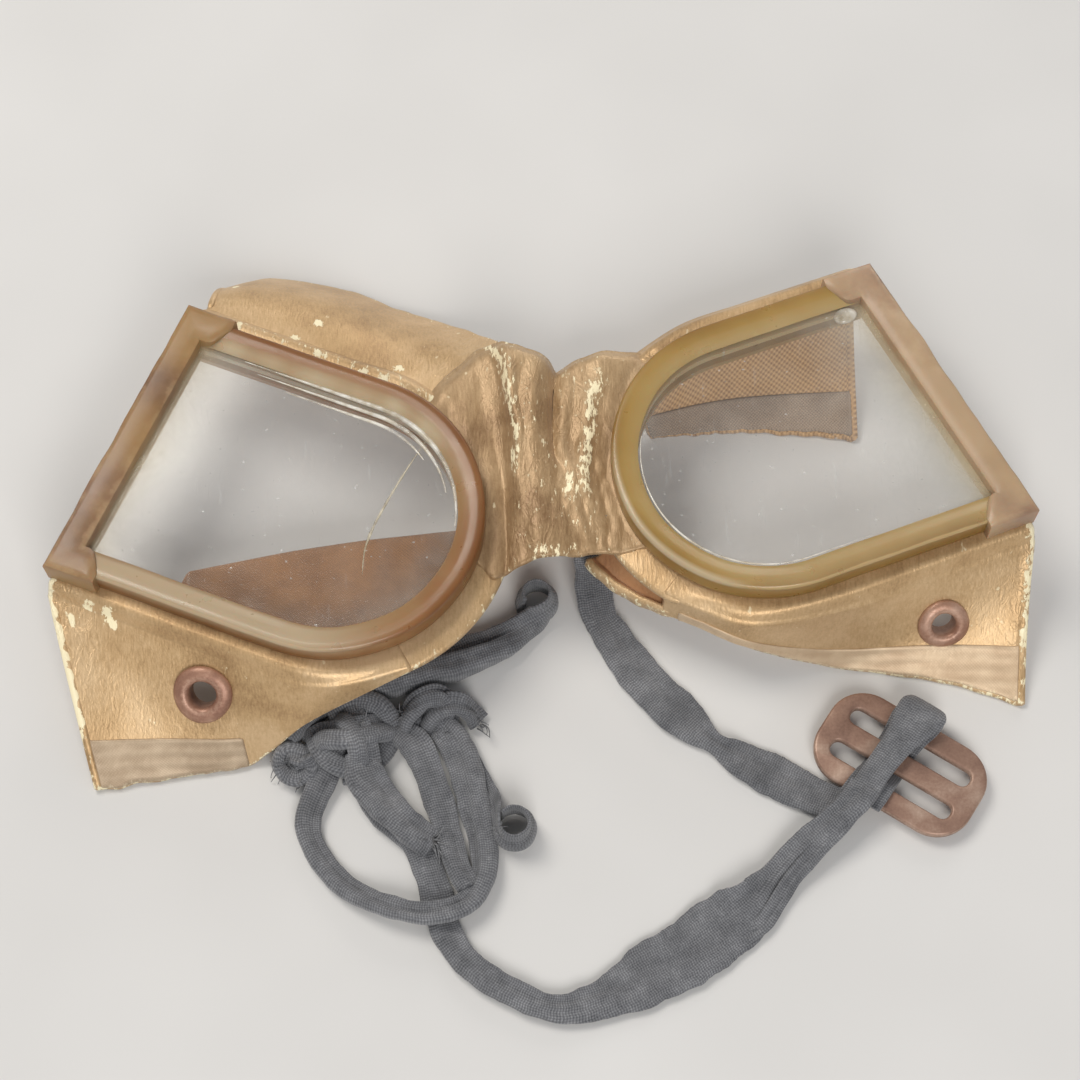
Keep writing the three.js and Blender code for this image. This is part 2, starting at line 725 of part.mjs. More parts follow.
function addKnot() {
  const rings = [];
  const count = KNOT_STEPS;
  const points = [new THREE.Vector3(0, 0, -1)];
  const triangles = [];
  for (let i = 1; i < count / 2; i += 1) {
    const tilt = Math.PI * (i / (count / 2)) - Math.PI / 2;
    for (let j = 0; j < count; j += 1) {
      const turn = (2 * Math.PI * j) / count;
      const out = Math.cos(tilt);
      points.push(new THREE.Vector3(out * Math.cos(turn), out * Math.sin(turn), Math.sin(tilt)));
    }
    rings.push(1 + (i - 1) * count);
  }
  points.push(new THREE.Vector3(0, 0, 1));
  const top = points.length - 1;
  for (let j = 0; j < count; j += 1) {
    const k = (j + 1) % count;
    triangles.push([0, rings[0] + k, rings[0] + j]);
    for (let i = 0; i + 1 < rings.length; i += 1) {
      const low = rings[i];
      const high = rings[i + 1];
      triangles.push([low + j, low + k, high + k], [low + j, high + k, high + j]);
    }
    const rim = rings[rings.length - 1];
    triangles.push([rim + j, rim + k, top]);
  }
  const [a, b, c] = KNOT_SIZE;
  for (const p of points) {
    p.set(KNOT_CENTRE[0] + a * p.x, KNOT_CENTRE[1] + b * p.y, STRAP_LIFT + c + c * p.z);
  }
  add("strap_knot", closedMesh(points, triangles), ELASTIC);
}

// The buckle's frame: x along its bars, y along the strap
function buckleFrame(x, y, z) {
  const c = Math.cos(radians(BUCKLE_TURN));
  const s = Math.sin(radians(BUCKLE_TURN));
  return new THREE.Vector3(BUCKLE_CENTRE[0] + x * c - y * s, BUCKLE_CENTRE[1] + x * s + y * c, z);
}

function roundedBox(length, width, corner) {
  const outline = [];
  const middles = [[1, 1, 0], [-1, 1, 90], [-1, -1, 180], [1, -1, 270]];
  for (const [sx, sy, from] of middles) {
    for (let i = 0; i <= CORNER_STEPS; i += 1) {
      const angle = radians(from + (90 * i) / CORNER_STEPS);
      const x = sx * (length / 2 - corner) + corner * Math.cos(angle);
      const y = sy * (width / 2 - corner) + corner * Math.sin(angle);
      outline.push([x, y]);
    }
  }
  return outline;
}

function addBuckle() {
  const pitch = BUCKLE_BAR + BUCKLE_SLOT;
  const width = 2 * pitch + BUCKLE_BAR;
  const low = BUCKLE_LOW;
  const high = BUCKLE_LOW + BUCKLE_THICKNESS;
  let body = solid(prism(roundedBox(BUCKLE_LENGTH, width, BUCKLE_CORNER), low, high, plain));
  for (const side of [-1, 1]) {
    const slot = roundedBox(BUCKLE_SLOT_LENGTH, BUCKLE_SLOT, BUCKLE_SLOT_CORNER);
    const place = (x, y, z) => new THREE.Vector3(x, y + (side * pitch) / 2, z);
    body = body.subtract(solid(prism(slot, low - CUT, high + CUT, place)));
  }
  add("strap_slide_buckle", geometryOf(body, buckleFrame), COPPER);

  // The strap threaded over the lower bar, under the middle bar, over the upper bar and back on top
  const over = high + GAP + WEAVE / 2 + WEAVE_PLAY;
  const under = low - GAP - WEAVE / 2 - WEAVE_PLAY;
  const edge = BUCKLE_BAR / 2 + BUCKLE_SLOT - GAP;
  const inner = BUCKLE_BAR / 2 + GAP;
  const back = over + WEAVE + GAP;
  const line = [
    [-WEAVE_START, over],
    [-edge, over],
    [-inner, under],
    [inner, under],
    [edge, over],
    [WEAVE_REACH, over],
    [WEAVE_REACH + WEAVE, (over + back) / 2],
    [WEAVE_REACH, back],
    [-WEAVE_START, back],
  ];
  const outline = thicken(line, WEAVE);
  const across = (y, z, x) => buckleFrame(x, y, z);
  const start = WEAVE_OFFSET - WEAVE_WIDTH / 2;
  add("strap_buckle_weave", prism(outline, start, start + WEAVE_WIDTH, across), ELASTIC);
}

// The outline of a bent line drawn with an even thickness
function thicken(line, thickness) {
  const points = line.map(([x, y]) => new THREE.Vector2(x, y));
  const sides = { left: [], right: [] };
  points.forEach((point, i) => {
    const before = points[Math.max(i - 1, 0)];
    const after = points[Math.min(i + 1, points.length - 1)];
    const a = point.clone().sub(before).normalize();
    const b = after.clone().sub(point).normalize();
    const run = a.add(b).normalize();
    const normal = new THREE.Vector2(-run.y, run.x);
    const ahead = after.clone().sub(point);
    const onward = ahead.lengthSq() ? ahead : point.clone().sub(before);
    const square = new THREE.Vector2(-onward.y, onward.x).normalize();
    const lean = Math.max(Math.abs(normal.dot(square)), MITRE_LIMIT);
    const half = thickness / 2 / lean;
    sides.left.push([point.x + normal.x * half, point.y + normal.y * half]);
    sides.right.push([point.x - normal.x * half, point.y - normal.y * half]);
  });
  return [...sides.left, ...sides.right.reverse()];
}

function addStrap() {
  addRibbon("strap_left_run", LEFT_RUN);
  addCurl("strap_nose_curl", NOSE_CURL);
  addKnot();
  addRibbon("strap_loop", LOOP);
  addRibbon("strap_front_run", FRONT_RUN);
  addRibbon("strap_tail_run", TAIL_RUN);
  addRibbon("strap_right_run", RIGHT_RUN);
  addRibbon("strap_right_end", RIGHT_END);
  addCurl("strap_loose_curl", LOOSE_CURL);
}

addHalf("left", LEFT);
addHalf("right", RIGHT);
addNose();
addNoseLip();
addLining(LEFT);
addSkirts();
addStrap();
addBuckle();

// The origin is below the middle of the goggles, without the strap
const box = new THREE.Box3();
for (const mesh of group.children) {
  if (!mesh.name.startsWith("strap")) {
    mesh.geometry.computeBoundingBox();
    box.union(mesh.geometry.boundingBox);
  }
}
const origin = box.getCenter(new THREE.Vector3()).setZ(box.min.z);
for (const mesh of group.children) {
  mesh.geometry.translate(-origin.x, -origin.y, -origin.z);
}

export default group;
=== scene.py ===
"""Looks of the folding dust goggles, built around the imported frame."""
import math

import bmesh
import bpy
import numpy as np
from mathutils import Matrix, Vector, noise


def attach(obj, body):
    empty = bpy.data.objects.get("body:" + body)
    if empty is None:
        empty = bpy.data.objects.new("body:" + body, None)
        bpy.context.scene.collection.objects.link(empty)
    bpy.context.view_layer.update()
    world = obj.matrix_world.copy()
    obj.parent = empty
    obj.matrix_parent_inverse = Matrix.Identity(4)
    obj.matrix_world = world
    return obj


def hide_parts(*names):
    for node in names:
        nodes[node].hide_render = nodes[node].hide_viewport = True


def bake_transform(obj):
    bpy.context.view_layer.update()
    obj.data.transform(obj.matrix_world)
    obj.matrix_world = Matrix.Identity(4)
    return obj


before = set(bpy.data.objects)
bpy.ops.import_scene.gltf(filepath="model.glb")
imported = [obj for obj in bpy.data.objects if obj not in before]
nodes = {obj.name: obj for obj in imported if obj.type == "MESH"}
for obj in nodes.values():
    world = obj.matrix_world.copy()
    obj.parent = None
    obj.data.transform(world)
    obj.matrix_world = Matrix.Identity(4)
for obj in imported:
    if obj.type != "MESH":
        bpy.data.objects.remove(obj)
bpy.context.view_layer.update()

# Sizes repeated from the part's source, in millimetres of the drawing
MM = 0.001
SHIFT = Vector((0.686, 7.3646, 0.030))
LENS_HEIGHT = 20
RIM = 25.5
RIM_WIDTH = 4.6
BAR_WALL = 1.2
BAR_WIDTH = 5
BAR_LEG = 9
TOP_MARGIN = 5
LOW_MARGIN = 3.3
TOP_CREASE = RIM + TOP_MARGIN
LOW_CREASE = -(RIM + LOW_MARGIN)
MASK_MID = -3.7
CREASE = -5.5
FOOT = 0.6 - LENS_HEIGHT
LOW = 1.1
CROSS = 3.2
BUCKLE = (60.2, -37.7)
BUCKLE_TURN = math.radians(-32.8)
BUCKLE_LENGTH = 29
BUCKLE_WIDTH = 17.2
BUCKLE_HEIGHT = 2.3
SLOT_LENGTH = 22.6
SLOT_WIDTH = 2.9
SLOT_PLACE = 3.35

# Sizes of the scene alone, in millimetres
HOLE_RADIUS = 3.1
SKIRT_THICKNESS = 0.95
MASK_THICKNESS = 1.0
NOSE_THICKNESS = 0.9
LINING_THICKNESS = 0.8
LENS_HALF = 0.55
ROOT_INSIDE = 2.2
TAPE_LEAST = 0.9
TAPE_FLOOR = 0.16
THREAD_RADIUS = 0.14
THREAD_FLOOR = 0.25


# Numbers and places
def at(x, y, z):
    """A point of the drawing in the part's frame, in metres"""
    return (Vector((x, y, z)) - SHIFT) * MM


def wave(x, y, z, scale, seed=0.0):
    """Smooth noise from -1 to 1 at a place in millimetres"""
    return noise.noise(Vector((x * scale + seed, y * scale - seed, z * scale + 2 * seed)))


def smooth_step(low, high, value):
    t = min(max((value - low) / (high - low), 0.0), 1.0)
    return t * t * (3 - 2 * t)


def window(value, start, full, fading, end):
    """1 from full to fading, easing to 0 at start and end"""
    return smooth_step(start, full, value) * smooth_step(end, fading, value)


def bell(value, middle, width):
    return math.exp(-((value - middle) / width) ** 2)


def circle(count):
    """Angles all round, in equal steps"""
    return [2 * math.pi * n / count for n in range(count)]


def rounded(angle, wide, tall):
    """A point of a rounded box of half size 1; smaller powers make it squarer"""
    c, s = math.cos(angle), math.sin(angle)
    return math.copysign(abs(c) ** wide, c), math.copysign(abs(s) ** tall, s)


class Half:
    """One half of the goggles: x from nose to temple, y up the lens, z out of the lens"""

    def __init__(self, name, side, yaw, centre, top, low):
        self.name, self.side, self.centre = name, side, centre
        self.c, self.s = math.cos(math.radians(yaw)), math.sin(math.radians(yaw))
        self.lean = (top - low) / (2 * (RIM + BAR_WALL))
        self.middle = (top + low) / 2
        self.slant = math.hypot(1, self.lean)
        self.body = name + "_half"

    def flat(self, x, y):
        dx = self.side * (x * self.c - y * self.s)
        return self.centre[0] + dx, self.centre[1] + x * self.s + y * self.c

    def place(self, x, y, z):
        return at(*self.flat(x, y), LENS_HEIGHT + z)

    def temple(self, y, inset):
        """x of the straight side, or of a line inset from it"""
        return self.middle + self.lean * y - inset * self.slant


LEFT = Half("left", -1, 21, (-34.6, 0.4), 38.1, 40.4)
RIGHT = Half("right", 1, 20.5, (37.4, 11.3), 31.3, 38.9)


# Procedural materials
class Look:
    """A Principled material; its places are the rest places of the points, in millimetres"""

    MIX_SHARE, MIX_FIRST, MIX_SECOND = 0, 6, 7
    MIX_RESULT = 2

    def __init__(self, name, carried=False):
        self.material = bpy.data.materials.new(name)
        self.material.use_nodes = True
        self.tree = self.material.node_tree
        self.shader = self.tree.nodes["Principled BSDF"]
        if carried:
            scale = self.node("VectorMath")
            scale.operation = "SCALE"
            self.put(scale.inputs["Scale"], 1 / MM)
            self.put(scale.inputs[0], self.node("TexCoord").outputs["Object"])
            self.place = scale.outputs[0]
        else:
            self.place = self.attribute("rest", "Vector")

    def put(self, socket, value):
        if isinstance(value, bpy.types.NodeSocket):
            self.tree.links.new(value, socket)
        else:
            socket.default_value = value

    def node(self, kind, **inputs):
        node = self.tree.nodes.new("ShaderNode" + kind)
        for key, value in inputs.items():
            self.put(node.inputs[key], value)
        return node

    def attribute(self, name, output="Fac"):
        node = self.node("Attribute")
        node.attribute_name = name
        return node.outputs[output]

    def stretch(self, scale, turn):
        turned = (0, 0, math.radians(turn))
        return self.node("Mapping", Vector=self.place, Scale=scale, Rotation=turned).outputs[0]

    def noise(self, scale, detail=3, rough=0.5, vector=None, warp=0):
        return self.node("TexNoise", Vector=vector or self.place, Scale=scale, Detail=detail,
                         Roughness=rough, Distortion=warp).outputs["Fac"]

    def cells(self, scale, vector):
        """Distance to the nearest edge between irregular cells"""
        node = self.node("TexVoronoi", Vector=vector, Scale=scale)
        node.feature = "DISTANCE_TO_EDGE"
        return node.outputs["Distance"]

    def ramp(self, value, *stops):
        node = self.node("ValToRGB", Fac=value)
        points = node.color_ramp.elements
        while len(points) < len(stops):
            points.new(1)
        for point, (place, colour) in zip(points, stops):
            point.position = place
            point.color = (colour,) * 3 + (1,) if isinstance(colour, (int, float)) else (*colour, 1)
        return node.outputs[0]

    def step(self, value, low, high):
        return self.ramp(value, (low, 0.0), (high, 1.0))

    def math(self, kind, a, b=0.0):
        node = self.node("Math")
        node.operation = kind
        self.put(node.inputs[0], a)
        self.put(node.inputs[1], b)
        return node.outputs[0]

    def times(self, a, b):
        return self.math("MULTIPLY", a, b)

    def total(self, *terms):
        """A sum; a pair is a value and its weight"""
        whole = None
        for term in terms:
            part = self.times(*term) if isinstance(term, tuple) else term
            whole = part if whole is None else self.math("ADD", whole, part)
        return whole

    def sine(self, value, pitch):
        return self.math("SINE", self.times(value, 2 * math.pi / pitch))

    def mix(self, share, a, b):
        node = self.node("Mix")
        node.data_type = "RGBA"
        for place, value in ((self.MIX_SHARE, share), (self.MIX_FIRST, a), (self.MIX_SECOND, b)):
            self.put(node.inputs[place], (*value, 1) if isinstance(value, tuple) else value)
        return node.outputs[self.MIX_RESULT]

    def uv(self):
        node = self.node("UVMap")
        node.uv_map = "UVMap"
        split = self.node("SeparateXYZ", Vector=node.outputs[0])
        return split.outputs[0], split.outputs[1]

    def bump(self, height, strength, distance):
        return self.node("Bump", Strength=strength, Distance=distance * MM, Height=height).outputs[0]

    def finish(self, blended=False, **values):
        for key, value in values.items():
            self.put(self.shader.inputs[key.replace("_", " ")], value)
        if blended:
            self.material.surface_render_method = "BLENDED"
        return self.material


def leather_look(name, dark, mid, light, pale, metal):
    """Old gilt leather: soft blotches, upright strokes, cracks where it is crinkled, rubbed to pale gold"""
    k = Look(name)
    crinkle = k.attribute("crinkle")
    blotch = k.noise(0.06, 4, 0.55, warp=0.3)
    stroke = k.noise(1, 3, 0.62, k.stretch((2.7, 0.5, 1.1), 4))
    grain = k.noise(2.8, 3, 0.6)
    tone = k.total((blotch, 0.64), (stroke, 0.24), (grain, 0.12))
    base = k.ramp(tone, (0.35, dark), (0.48, mid), (0.61, light))
    crease = k.noise(1, 2, 0.5, k.stretch((0.6, 0.24, 0.5), -4), 1.2)
    fold = k.ramp(crease, (0.36, 0.0), (0.5, 1.0), (0.64, 0.0))
    crack = k.ramp(k.cells(1, k.stretch((1.5, 0.42, 0.7), 5)), (0.0, 1.0), (0.045, 0.0))
    patch = k.step(k.noise(0.3, 3, 0.6), 0.46, 0.6)
    line = k.times(k.times(crack, patch), crinkle)
    broken = k.noise(1, 5, 0.7, k.stretch((1.3, 0.42, 0.8), 4))
    rubbed = k.step(k.total((k.attribute("wear"), 0.4), (broken, 0.7)), 0.53, 0.565)
    fleck = k.step(k.noise(0.6, 2, 0.5, k.stretch((1.2, 0.6, 1), 8)), 0.72, 0.76)
    shown = k.math("MAXIMUM", rubbed, k.times(fleck, 0.5))
    colour = k.mix(shown, base, pale)
    colour = k.mix(k.times(line, 0.42), colour, tuple(c * 0.4 for c in dark))
    rough = k.ramp(k.total(stroke, (shown, -0.25)), (0.2, 0.3), (0.7, 0.5))
    deep = k.times(k.math("ADD", crinkle, 0.05), k.times(fold, 0.75))
    height = k.total((grain, 0.12), (stroke, 0.3), deep, (line, -0.35), (rubbed, 0.15))
    shine = k.times(k.math("SUBTRACT", 1.0, shown), metal) if metal else 0.0
    return k.finish(Base_Color=colour, Roughness=rough, Normal=k.bump(height, 0.5, 0.4), Metallic=shine,
                    Sheen_Weight=0.08)


def band_look(name, dark, light, pale):
    """A thin strip glued along an edge: faint ridges along its length over a close weave"""
    k = Look(name)
    u, v = k.uv()
    drift = k.noise(0.18, 4, 0.6)
    ridge = k.math("SINE", k.total((v, 2 * math.pi / 2.1), (drift, 3)))
    thread = k.times(k.sine(u, 0.55), k.sine(v, 0.55))
    stroke = k.noise(1, 3, 0.6, k.stretch((2.4, 0.6, 1.0), 4))
    tone = k.total((drift, 0.8), (stroke, 0.1), (ridge, 0.035), (thread, 0.035))
    rub = k.step(k.total(k.attribute("wear"), (stroke, 0.8)), 0.72, 0.95)
    colour = k.mix(k.times(rub, 0.8), k.ramp(tone, (0.33, dark), (0.6, light)), pale)
    height = k.total((ridge, 0.22), (thread, 0.08), (stroke, 0.15))
    rough = k.ramp(stroke, (0.3, 0.42), (0.7, 0.58))
    return k.finish(Base_Color=colour, Roughness=rough, Normal=k.bump(height, 0.4, 0.3), Metallic=0.25,
                    Sheen_Weight=0.1)


def rim_look(name, deep, mid, clear, carried=False):
    """Amber sheet plastic: faintly cloudy, glossy, lighter on its bevels; on the front mouldings the wear and
    pale marks also paint highlights along outer edges
    """
    k = Look(name, carried)
    cloud = k.noise(0.055, 3, 0.5, warp=0.4)
    drift = k.noise(0.24, 3, 0.5)
    across = drift if carried else k.attribute("across")
    colour = k.ramp(k.total((cloud, 0.55), (across, 0.4)), (0.2, deep), (0.45, mid), (0.82, clear))
    if not carried:
        # wear lightens rubbed edges; on the lower rims it also paints a highlight line along the outer edge
        rub = k.step(k.total((k.attribute("wear"), 0.5), (drift, 0.4)), 0.41, 0.56)
        colour = k.mix(k.times(rub, 0.55), colour, tuple(min(1, c * 1.35) for c in clear))
        # pale lightens the inner bevel of the upper rim and paints highlights on the lower left rim and on
        # the right rim's outer edge by the nose
        colour = k.mix(k.attribute("pale"), colour, (0.64, 0.54, 0.36))
    rough = k.ramp(drift, (0.3, 0.26), (0.7, 0.42))
    height = k.total((cloud, 0.7), (drift, 0.25), (k.noise(1.4, 2, 0.5), 0.03))
    return k.finish(Base_Color=colour, Roughness=rough, Normal=k.bump(height, 0.24, 0.4),
                    Transmission_Weight=0.15, IOR=1.5, Subsurface_Weight=0.25, Subsurface_Scale=0.002,
                    Coat_Weight=0.26, Coat_Roughness=0.14, Specular_IOR_Level=0.3)


def bar_look(name, dark, mid, light, violet, amber):
    """Scuffed tan plastic with soft clouds, amber places and rubbed edges"""
    k = Look(name)
    cloud = k.noise(0.085, 4, 0.55, warp=0.3)
    drift = k.noise(0.3, 4, 0.6)
    colour = k.ramp(k.total((cloud, 0.7), (drift, 0.3)), (0.33, dark), (0.5, mid), (0.67, light))
    colour = k.mix(k.ramp(k.noise(0.07, 2), (0.5, 0.0), (0.66, 0.4)), colour, violet)
    rub = k.step(k.total((k.attribute("wear"), 0.5), (drift, 0.4)), 0.43, 0.55)
    colour = k.mix(k.times(rub, 0.4), colour, (0.56, 0.4, 0.23))
    colour = k.mix(k.ramp(k.noise(0.045, 2, 0.4), (0.4, 0.0), (0.58, 0.75)), colour, amber)
    rough = k.ramp(drift, (0.3, 0.34), (0.7, 0.5))
    height = k.total(cloud, (drift, 0.4), (k.noise(1.8, 3, 0.6), 0.06))
    return k.finish(Base_Color=colour, Roughness=rough, Normal=k.bump(height, 0.22, 0.4),
                    Specular_IOR_Level=0.35, Coat_Weight=0.16, Coat_Roughness=0.2,
                    Subsurface_Weight=0.2, Subsurface_Scale=0.002)


def lens_look():
    """Clear sheet, hazy towards its edge, with specks and rubbed streaks"""
    k = Look("hazy_clear_lens")
    haze = k.attribute("haze")
    smear = k.noise(0.06, 5, 0.65, warp=0.5)
    streak = k.step(k.noise(1, 3, 0.6, k.stretch((0.9, 0.12, 1), 35)), 0.66, 0.72)
    speck = k.step(k.noise(1.15, 2, 0.4), 0.74, 0.77)
    veil = k.times(haze, k.ramp(smear, (0.3, 0.25), (0.65, 1.0)))
    film = k.ramp(smear, (0.35, 0.02), (0.75, 0.055))
    alpha = k.total((veil, 0.5), film, (streak, 0.06), (speck, 0.28))
    colour = k.mix(haze, (0.82, 0.83, 0.8), (0.58, 0.49, 0.31))
    return k.finish(blended=True, Base_Color=colour, Roughness=0.1, Alpha=alpha,
                    Normal=k.bump(smear, 0.08, 0.6), IOR=1.5, Specular_IOR_Level=0.35)


def mark_look(name, grain, tones, breaks, cover, **values):
    """A pale mark on a lens, broken along its length"""
    k = Look(name)
    return k.finish(blended=True, Base_Color=k.ramp(k.noise(grain, 3), *tones),
                    Alpha=k.ramp(k.noise(breaks, 3), *cover), **values)


def cloth_look(name, dark, light, pitch, shade=0.5):
    """Plain weave on the piece's own lengthwise and crosswise measure, in millimetres"""
    k = Look(name)
    u, v = k.uv()
    weave = k.times(k.sine(u, pitch), k.sine(v, pitch))
    lift = k.times(k.math("ADD", weave, 1), 0.5)
    worn = k.noise(0.14, 5, 0.65)
    colour = k.ramp(k.total((lift, shade), (worn, 1 - shade)), (0.2, dark), (0.72, light))
    normal = k.bump(k.total(lift, (worn, 0.6)), 0.6, 0.25)
    return k.finish(Base_Color=colour, Roughness=0.88, Normal=normal, Sheen_Weight=0.2)


def elastic_look():
    """Faded woven tape: slanted ribs over lengthwise yarns; the ribs' lift paints the high spots lighter and
    the hollows darker, painted shade in the weave
    """
    k = Look("faded_black_elastic")
    u, v = k.uv()
    slant = k.total((u, 1 / 0.44), (k.math("PINGPONG", v, 0.8), 0.5))
    rib = k.math("ADD", k.times(k.sine(slant, 1), 0.5), 0.5)
    lift = k.total((rib, 0.7), (k.sine(v, 0.4), 0.22))
    fuzz = k.noise(3.4, 3, 0.7)
    # The lift term is painted shade: high spots lighter, hollows darker
    tone = k.total((lift, 0.2), (k.noise(0.2, 6, 0.7), 0.45), (fuzz, 0.34))
    colour = k.ramp(tone, (0.28, (0.04, 0.042, 0.047)), (0.5, (0.155, 0.158, 0.168)),
                    (0.72, (0.36, 0.363, 0.374)))
    normal = k.bump(k.total(lift, (fuzz, 0.7)), 0.5, 0.16)
    return k.finish(Base_Color=colour, Roughness=0.92, Normal=normal, Sheen_Weight=0.25, Sheen_Roughness=0.6)


def thread_look():
    k = Look("loose_thread")
    colour = k.ramp(k.noise(0.9, 4, 0.7), (0.3, (0.03, 0.031, 0.034)), (0.7, (0.26, 0.262, 0.27)))
    normal = k.bump(k.noise(6, 2), 0.5, 0.08)
    return k.finish(Base_Color=colour, Roughness=0.9, Normal=normal, Sheen_Weight=0.25)


def copper_look(name, deep, mid, bright, carried=False):
    """Tarnished copper-brown metal, rubbed bright on its high edges"""
    k = Look(name, carried)
    stain = k.noise(0.16, 4, 0.55, warp=0.3)
    pit = k.noise(2.2, 3, 0.6)
    tone = k.total((stain, 0.8), (pit, 0.2))
    colour = k.ramp(tone, (0.32, deep), (0.5, mid), (0.72, bright))
    if not carried:
        rub = k.step(k.total((k.attribute("wear"), 0.5), (pit, 0.3)), 0.425, 0.6)
        colour = k.mix(k.times(rub, 0.6), colour, bright)
    rough = k.ramp(tone, (0.3, 0.52), (0.7, 0.38))
    normal = k.bump(k.total(stain, (pit, 0.3)), 0.18, 0.2)
    return k.finish(Base_Color=colour, Roughness=rough, Normal=normal, Metallic=0.35, Coat_Weight=0.08)


PALE_GOLD = (0.98, 0.87, 0.58)
HIDE = leather_look("gilt_leather", (0.36, 0.215, 0.095), (0.57, 0.375, 0.185), (0.71, 0.5, 0.28),
                    PALE_GOLD, 0.4)
# The bridge's leather is the gilt leather made darker and less metallic: painted shade against the highlights
# the lamps put on it
NOSE_HIDE_PAINTED_SHADE = leather_look("gilt_nose_leather_painted_shade", (0.25, 0.142, 0.062), (0.4, 0.256, 0.127), (0.53, 0.367, 0.2),
                         PALE_GOLD, 0.25)
BACKING = leather_look("brown_backing", (0.26, 0.115, 0.05), (0.42, 0.21, 0.095), (0.5, 0.27, 0.13),
                       (0.56, 0.35, 0.19), 0.0)
FLAP_CLOTH = cloth_look("brown_flap", (0.16, 0.065, 0.02), (0.34, 0.155, 0.05), 0.6, 0.16)
LEFT_BAND = band_look("grey_tan_band", (0.38, 0.275, 0.175), (0.55, 0.425, 0.29), (0.82, 0.71, 0.5))
RIGHT_BAND = band_look("pink_tan_band", (0.56, 0.4, 0.25), (0.73, 0.56, 0.37), (0.92, 0.8, 0.54))
AMBER_LEFT = rim_look("orange_amber_rim", (0.2, 0.078, 0.02), (0.3, 0.137, 0.047), (0.42, 0.265, 0.125))
AMBER_RIGHT = rim_look("golden_amber_rim", (0.27, 0.14, 0.025), (0.43, 0.27, 0.08), (0.56, 0.41, 0.18))
BACK_LEFT = rim_look("orange_back_rim", (0.18, 0.08, 0.025), (0.32, 0.17, 0.075), (0.45, 0.3, 0.16), True)
BACK_RIGHT = rim_look("golden_back_rim", (0.22, 0.12, 0.03), (0.36, 0.23, 0.08), (0.5, 0.36, 0.16), True)
# One bar plastic in two copies: the left copy is darkened where the key lamp lights it most (painted shade),
# the right copy lightened (painted light)
LEFT_BAR_PAINTED_SHADE = bar_look("scuffed_bar_painted_shade", (0.18, 0.098, 0.05), (0.265, 0.155, 0.082), (0.37, 0.245, 0.125),
                    (0.26, 0.165, 0.12), (0.34, 0.2, 0.075))
RIGHT_BAR_PAINTED_LIGHT = bar_look("scuffed_bar_painted_light", (0.27, 0.165, 0.105), (0.4, 0.265, 0.165), (0.54, 0.395, 0.255),
                     (0.4, 0.28, 0.23), (0.46, 0.32, 0.18))
CLEAR = lens_look()
BEAD = mark_look("pale_lens_edge", 0.5, ((0.35, (0.6, 0.52, 0.38)), (0.6, (0.9, 0.87, 0.78))),
                 0.16, ((0.36, 0.1), (0.55, 0.7)), Roughness=0.2, Coat_Weight=0.4)
SCRATCH = mark_look("dull_scratch", 0.6, ((0.35, (0.36, 0.3, 0.19)), (0.65, (0.66, 0.6, 0.45))),
                    0.3, ((0.3, 0.3), (0.7, 0.75)), Roughness=0.35)
LINING = cloth_look("woven_lining", (0.29, 0.15, 0.065), (0.68, 0.43, 0.21), 0.95)
HEM_TAPE = cloth_look("brown_hem_tape", (0.2, 0.14, 0.1), (0.46, 0.35, 0.26), 0.6, 0.3)
ELASTIC = elastic_look()
THREAD = thread_look()
COPPER = copper_look("copper_buckle", (0.19, 0.105, 0.075), (0.32, 0.195, 0.14), (0.54, 0.39, 0.3))
EYELET = copper_look("copper_eyelet", (0.21, 0.095, 0.06), (0.38, 0.205, 0.135), (0.62, 0.41, 0.3))
WASHER = copper_look("copper_washer", (0.15, 0.07, 0.05), (0.3, 0.165, 0.115), (0.48, 0.3, 0.22), True)


# Meshes
PLAIN_CRINKLE = 0.12


def add_object(name, data):
    thing = bpy.data.objects.new(name, data)
    bpy.context.scene.collection.objects.link(thing)
    return thing


def make(name, points, faces, materials, uvs=None, marks=None, slots=None, sharp=None):
    """A smooth mesh object; marks are named numbers on its points, slots its faces' materials"""
    mesh = bpy.data.meshes.new(name)
    points = [tuple(p) for p in points]
    mesh.from_pydata(points, [], faces)
    for material in materials:
        mesh.materials.append(material)
    if slots is not None:
        mesh.polygons.foreach_set("material_index", slots)
    mesh.polygons.foreach_set("use_smooth", [True] * len(mesh.polygons))
    rest = mesh.attributes.new("rest", "FLOAT_VECTOR", "POINT")
    rest.data.foreach_set("vector", np.array(points, np.float32).ravel() / MM)
    for key, values in (marks or {}).items():
        layer = mesh.attributes.new(key, "FLOAT", "POINT")
        layer.data.foreach_set("value", np.array(values, np.float32))
    if uvs is not None:
        layer = mesh.uv_layers.new(name="UVMap")
        index = np.empty(len(mesh.loops), np.int32)
        mesh.loops.foreach_get("vertex_index", index)
        layer.data.foreach_set("uv", np.array(uvs, np.float32)[index].ravel())
    work = bmesh.new()
    work.from_mesh(mesh)
    bmesh.ops.delete(work, geom=[v for v in work.verts if not v.link_faces], context="VERTS")
    bmesh.ops.recalc_face_normals(work, faces=work.faces)
    work.to_mesh(mesh)
    work.free()
    if sharp:
        mesh.set_sharp_from_angle(angle=math.radians(sharp))
    return add_object(name, mesh)


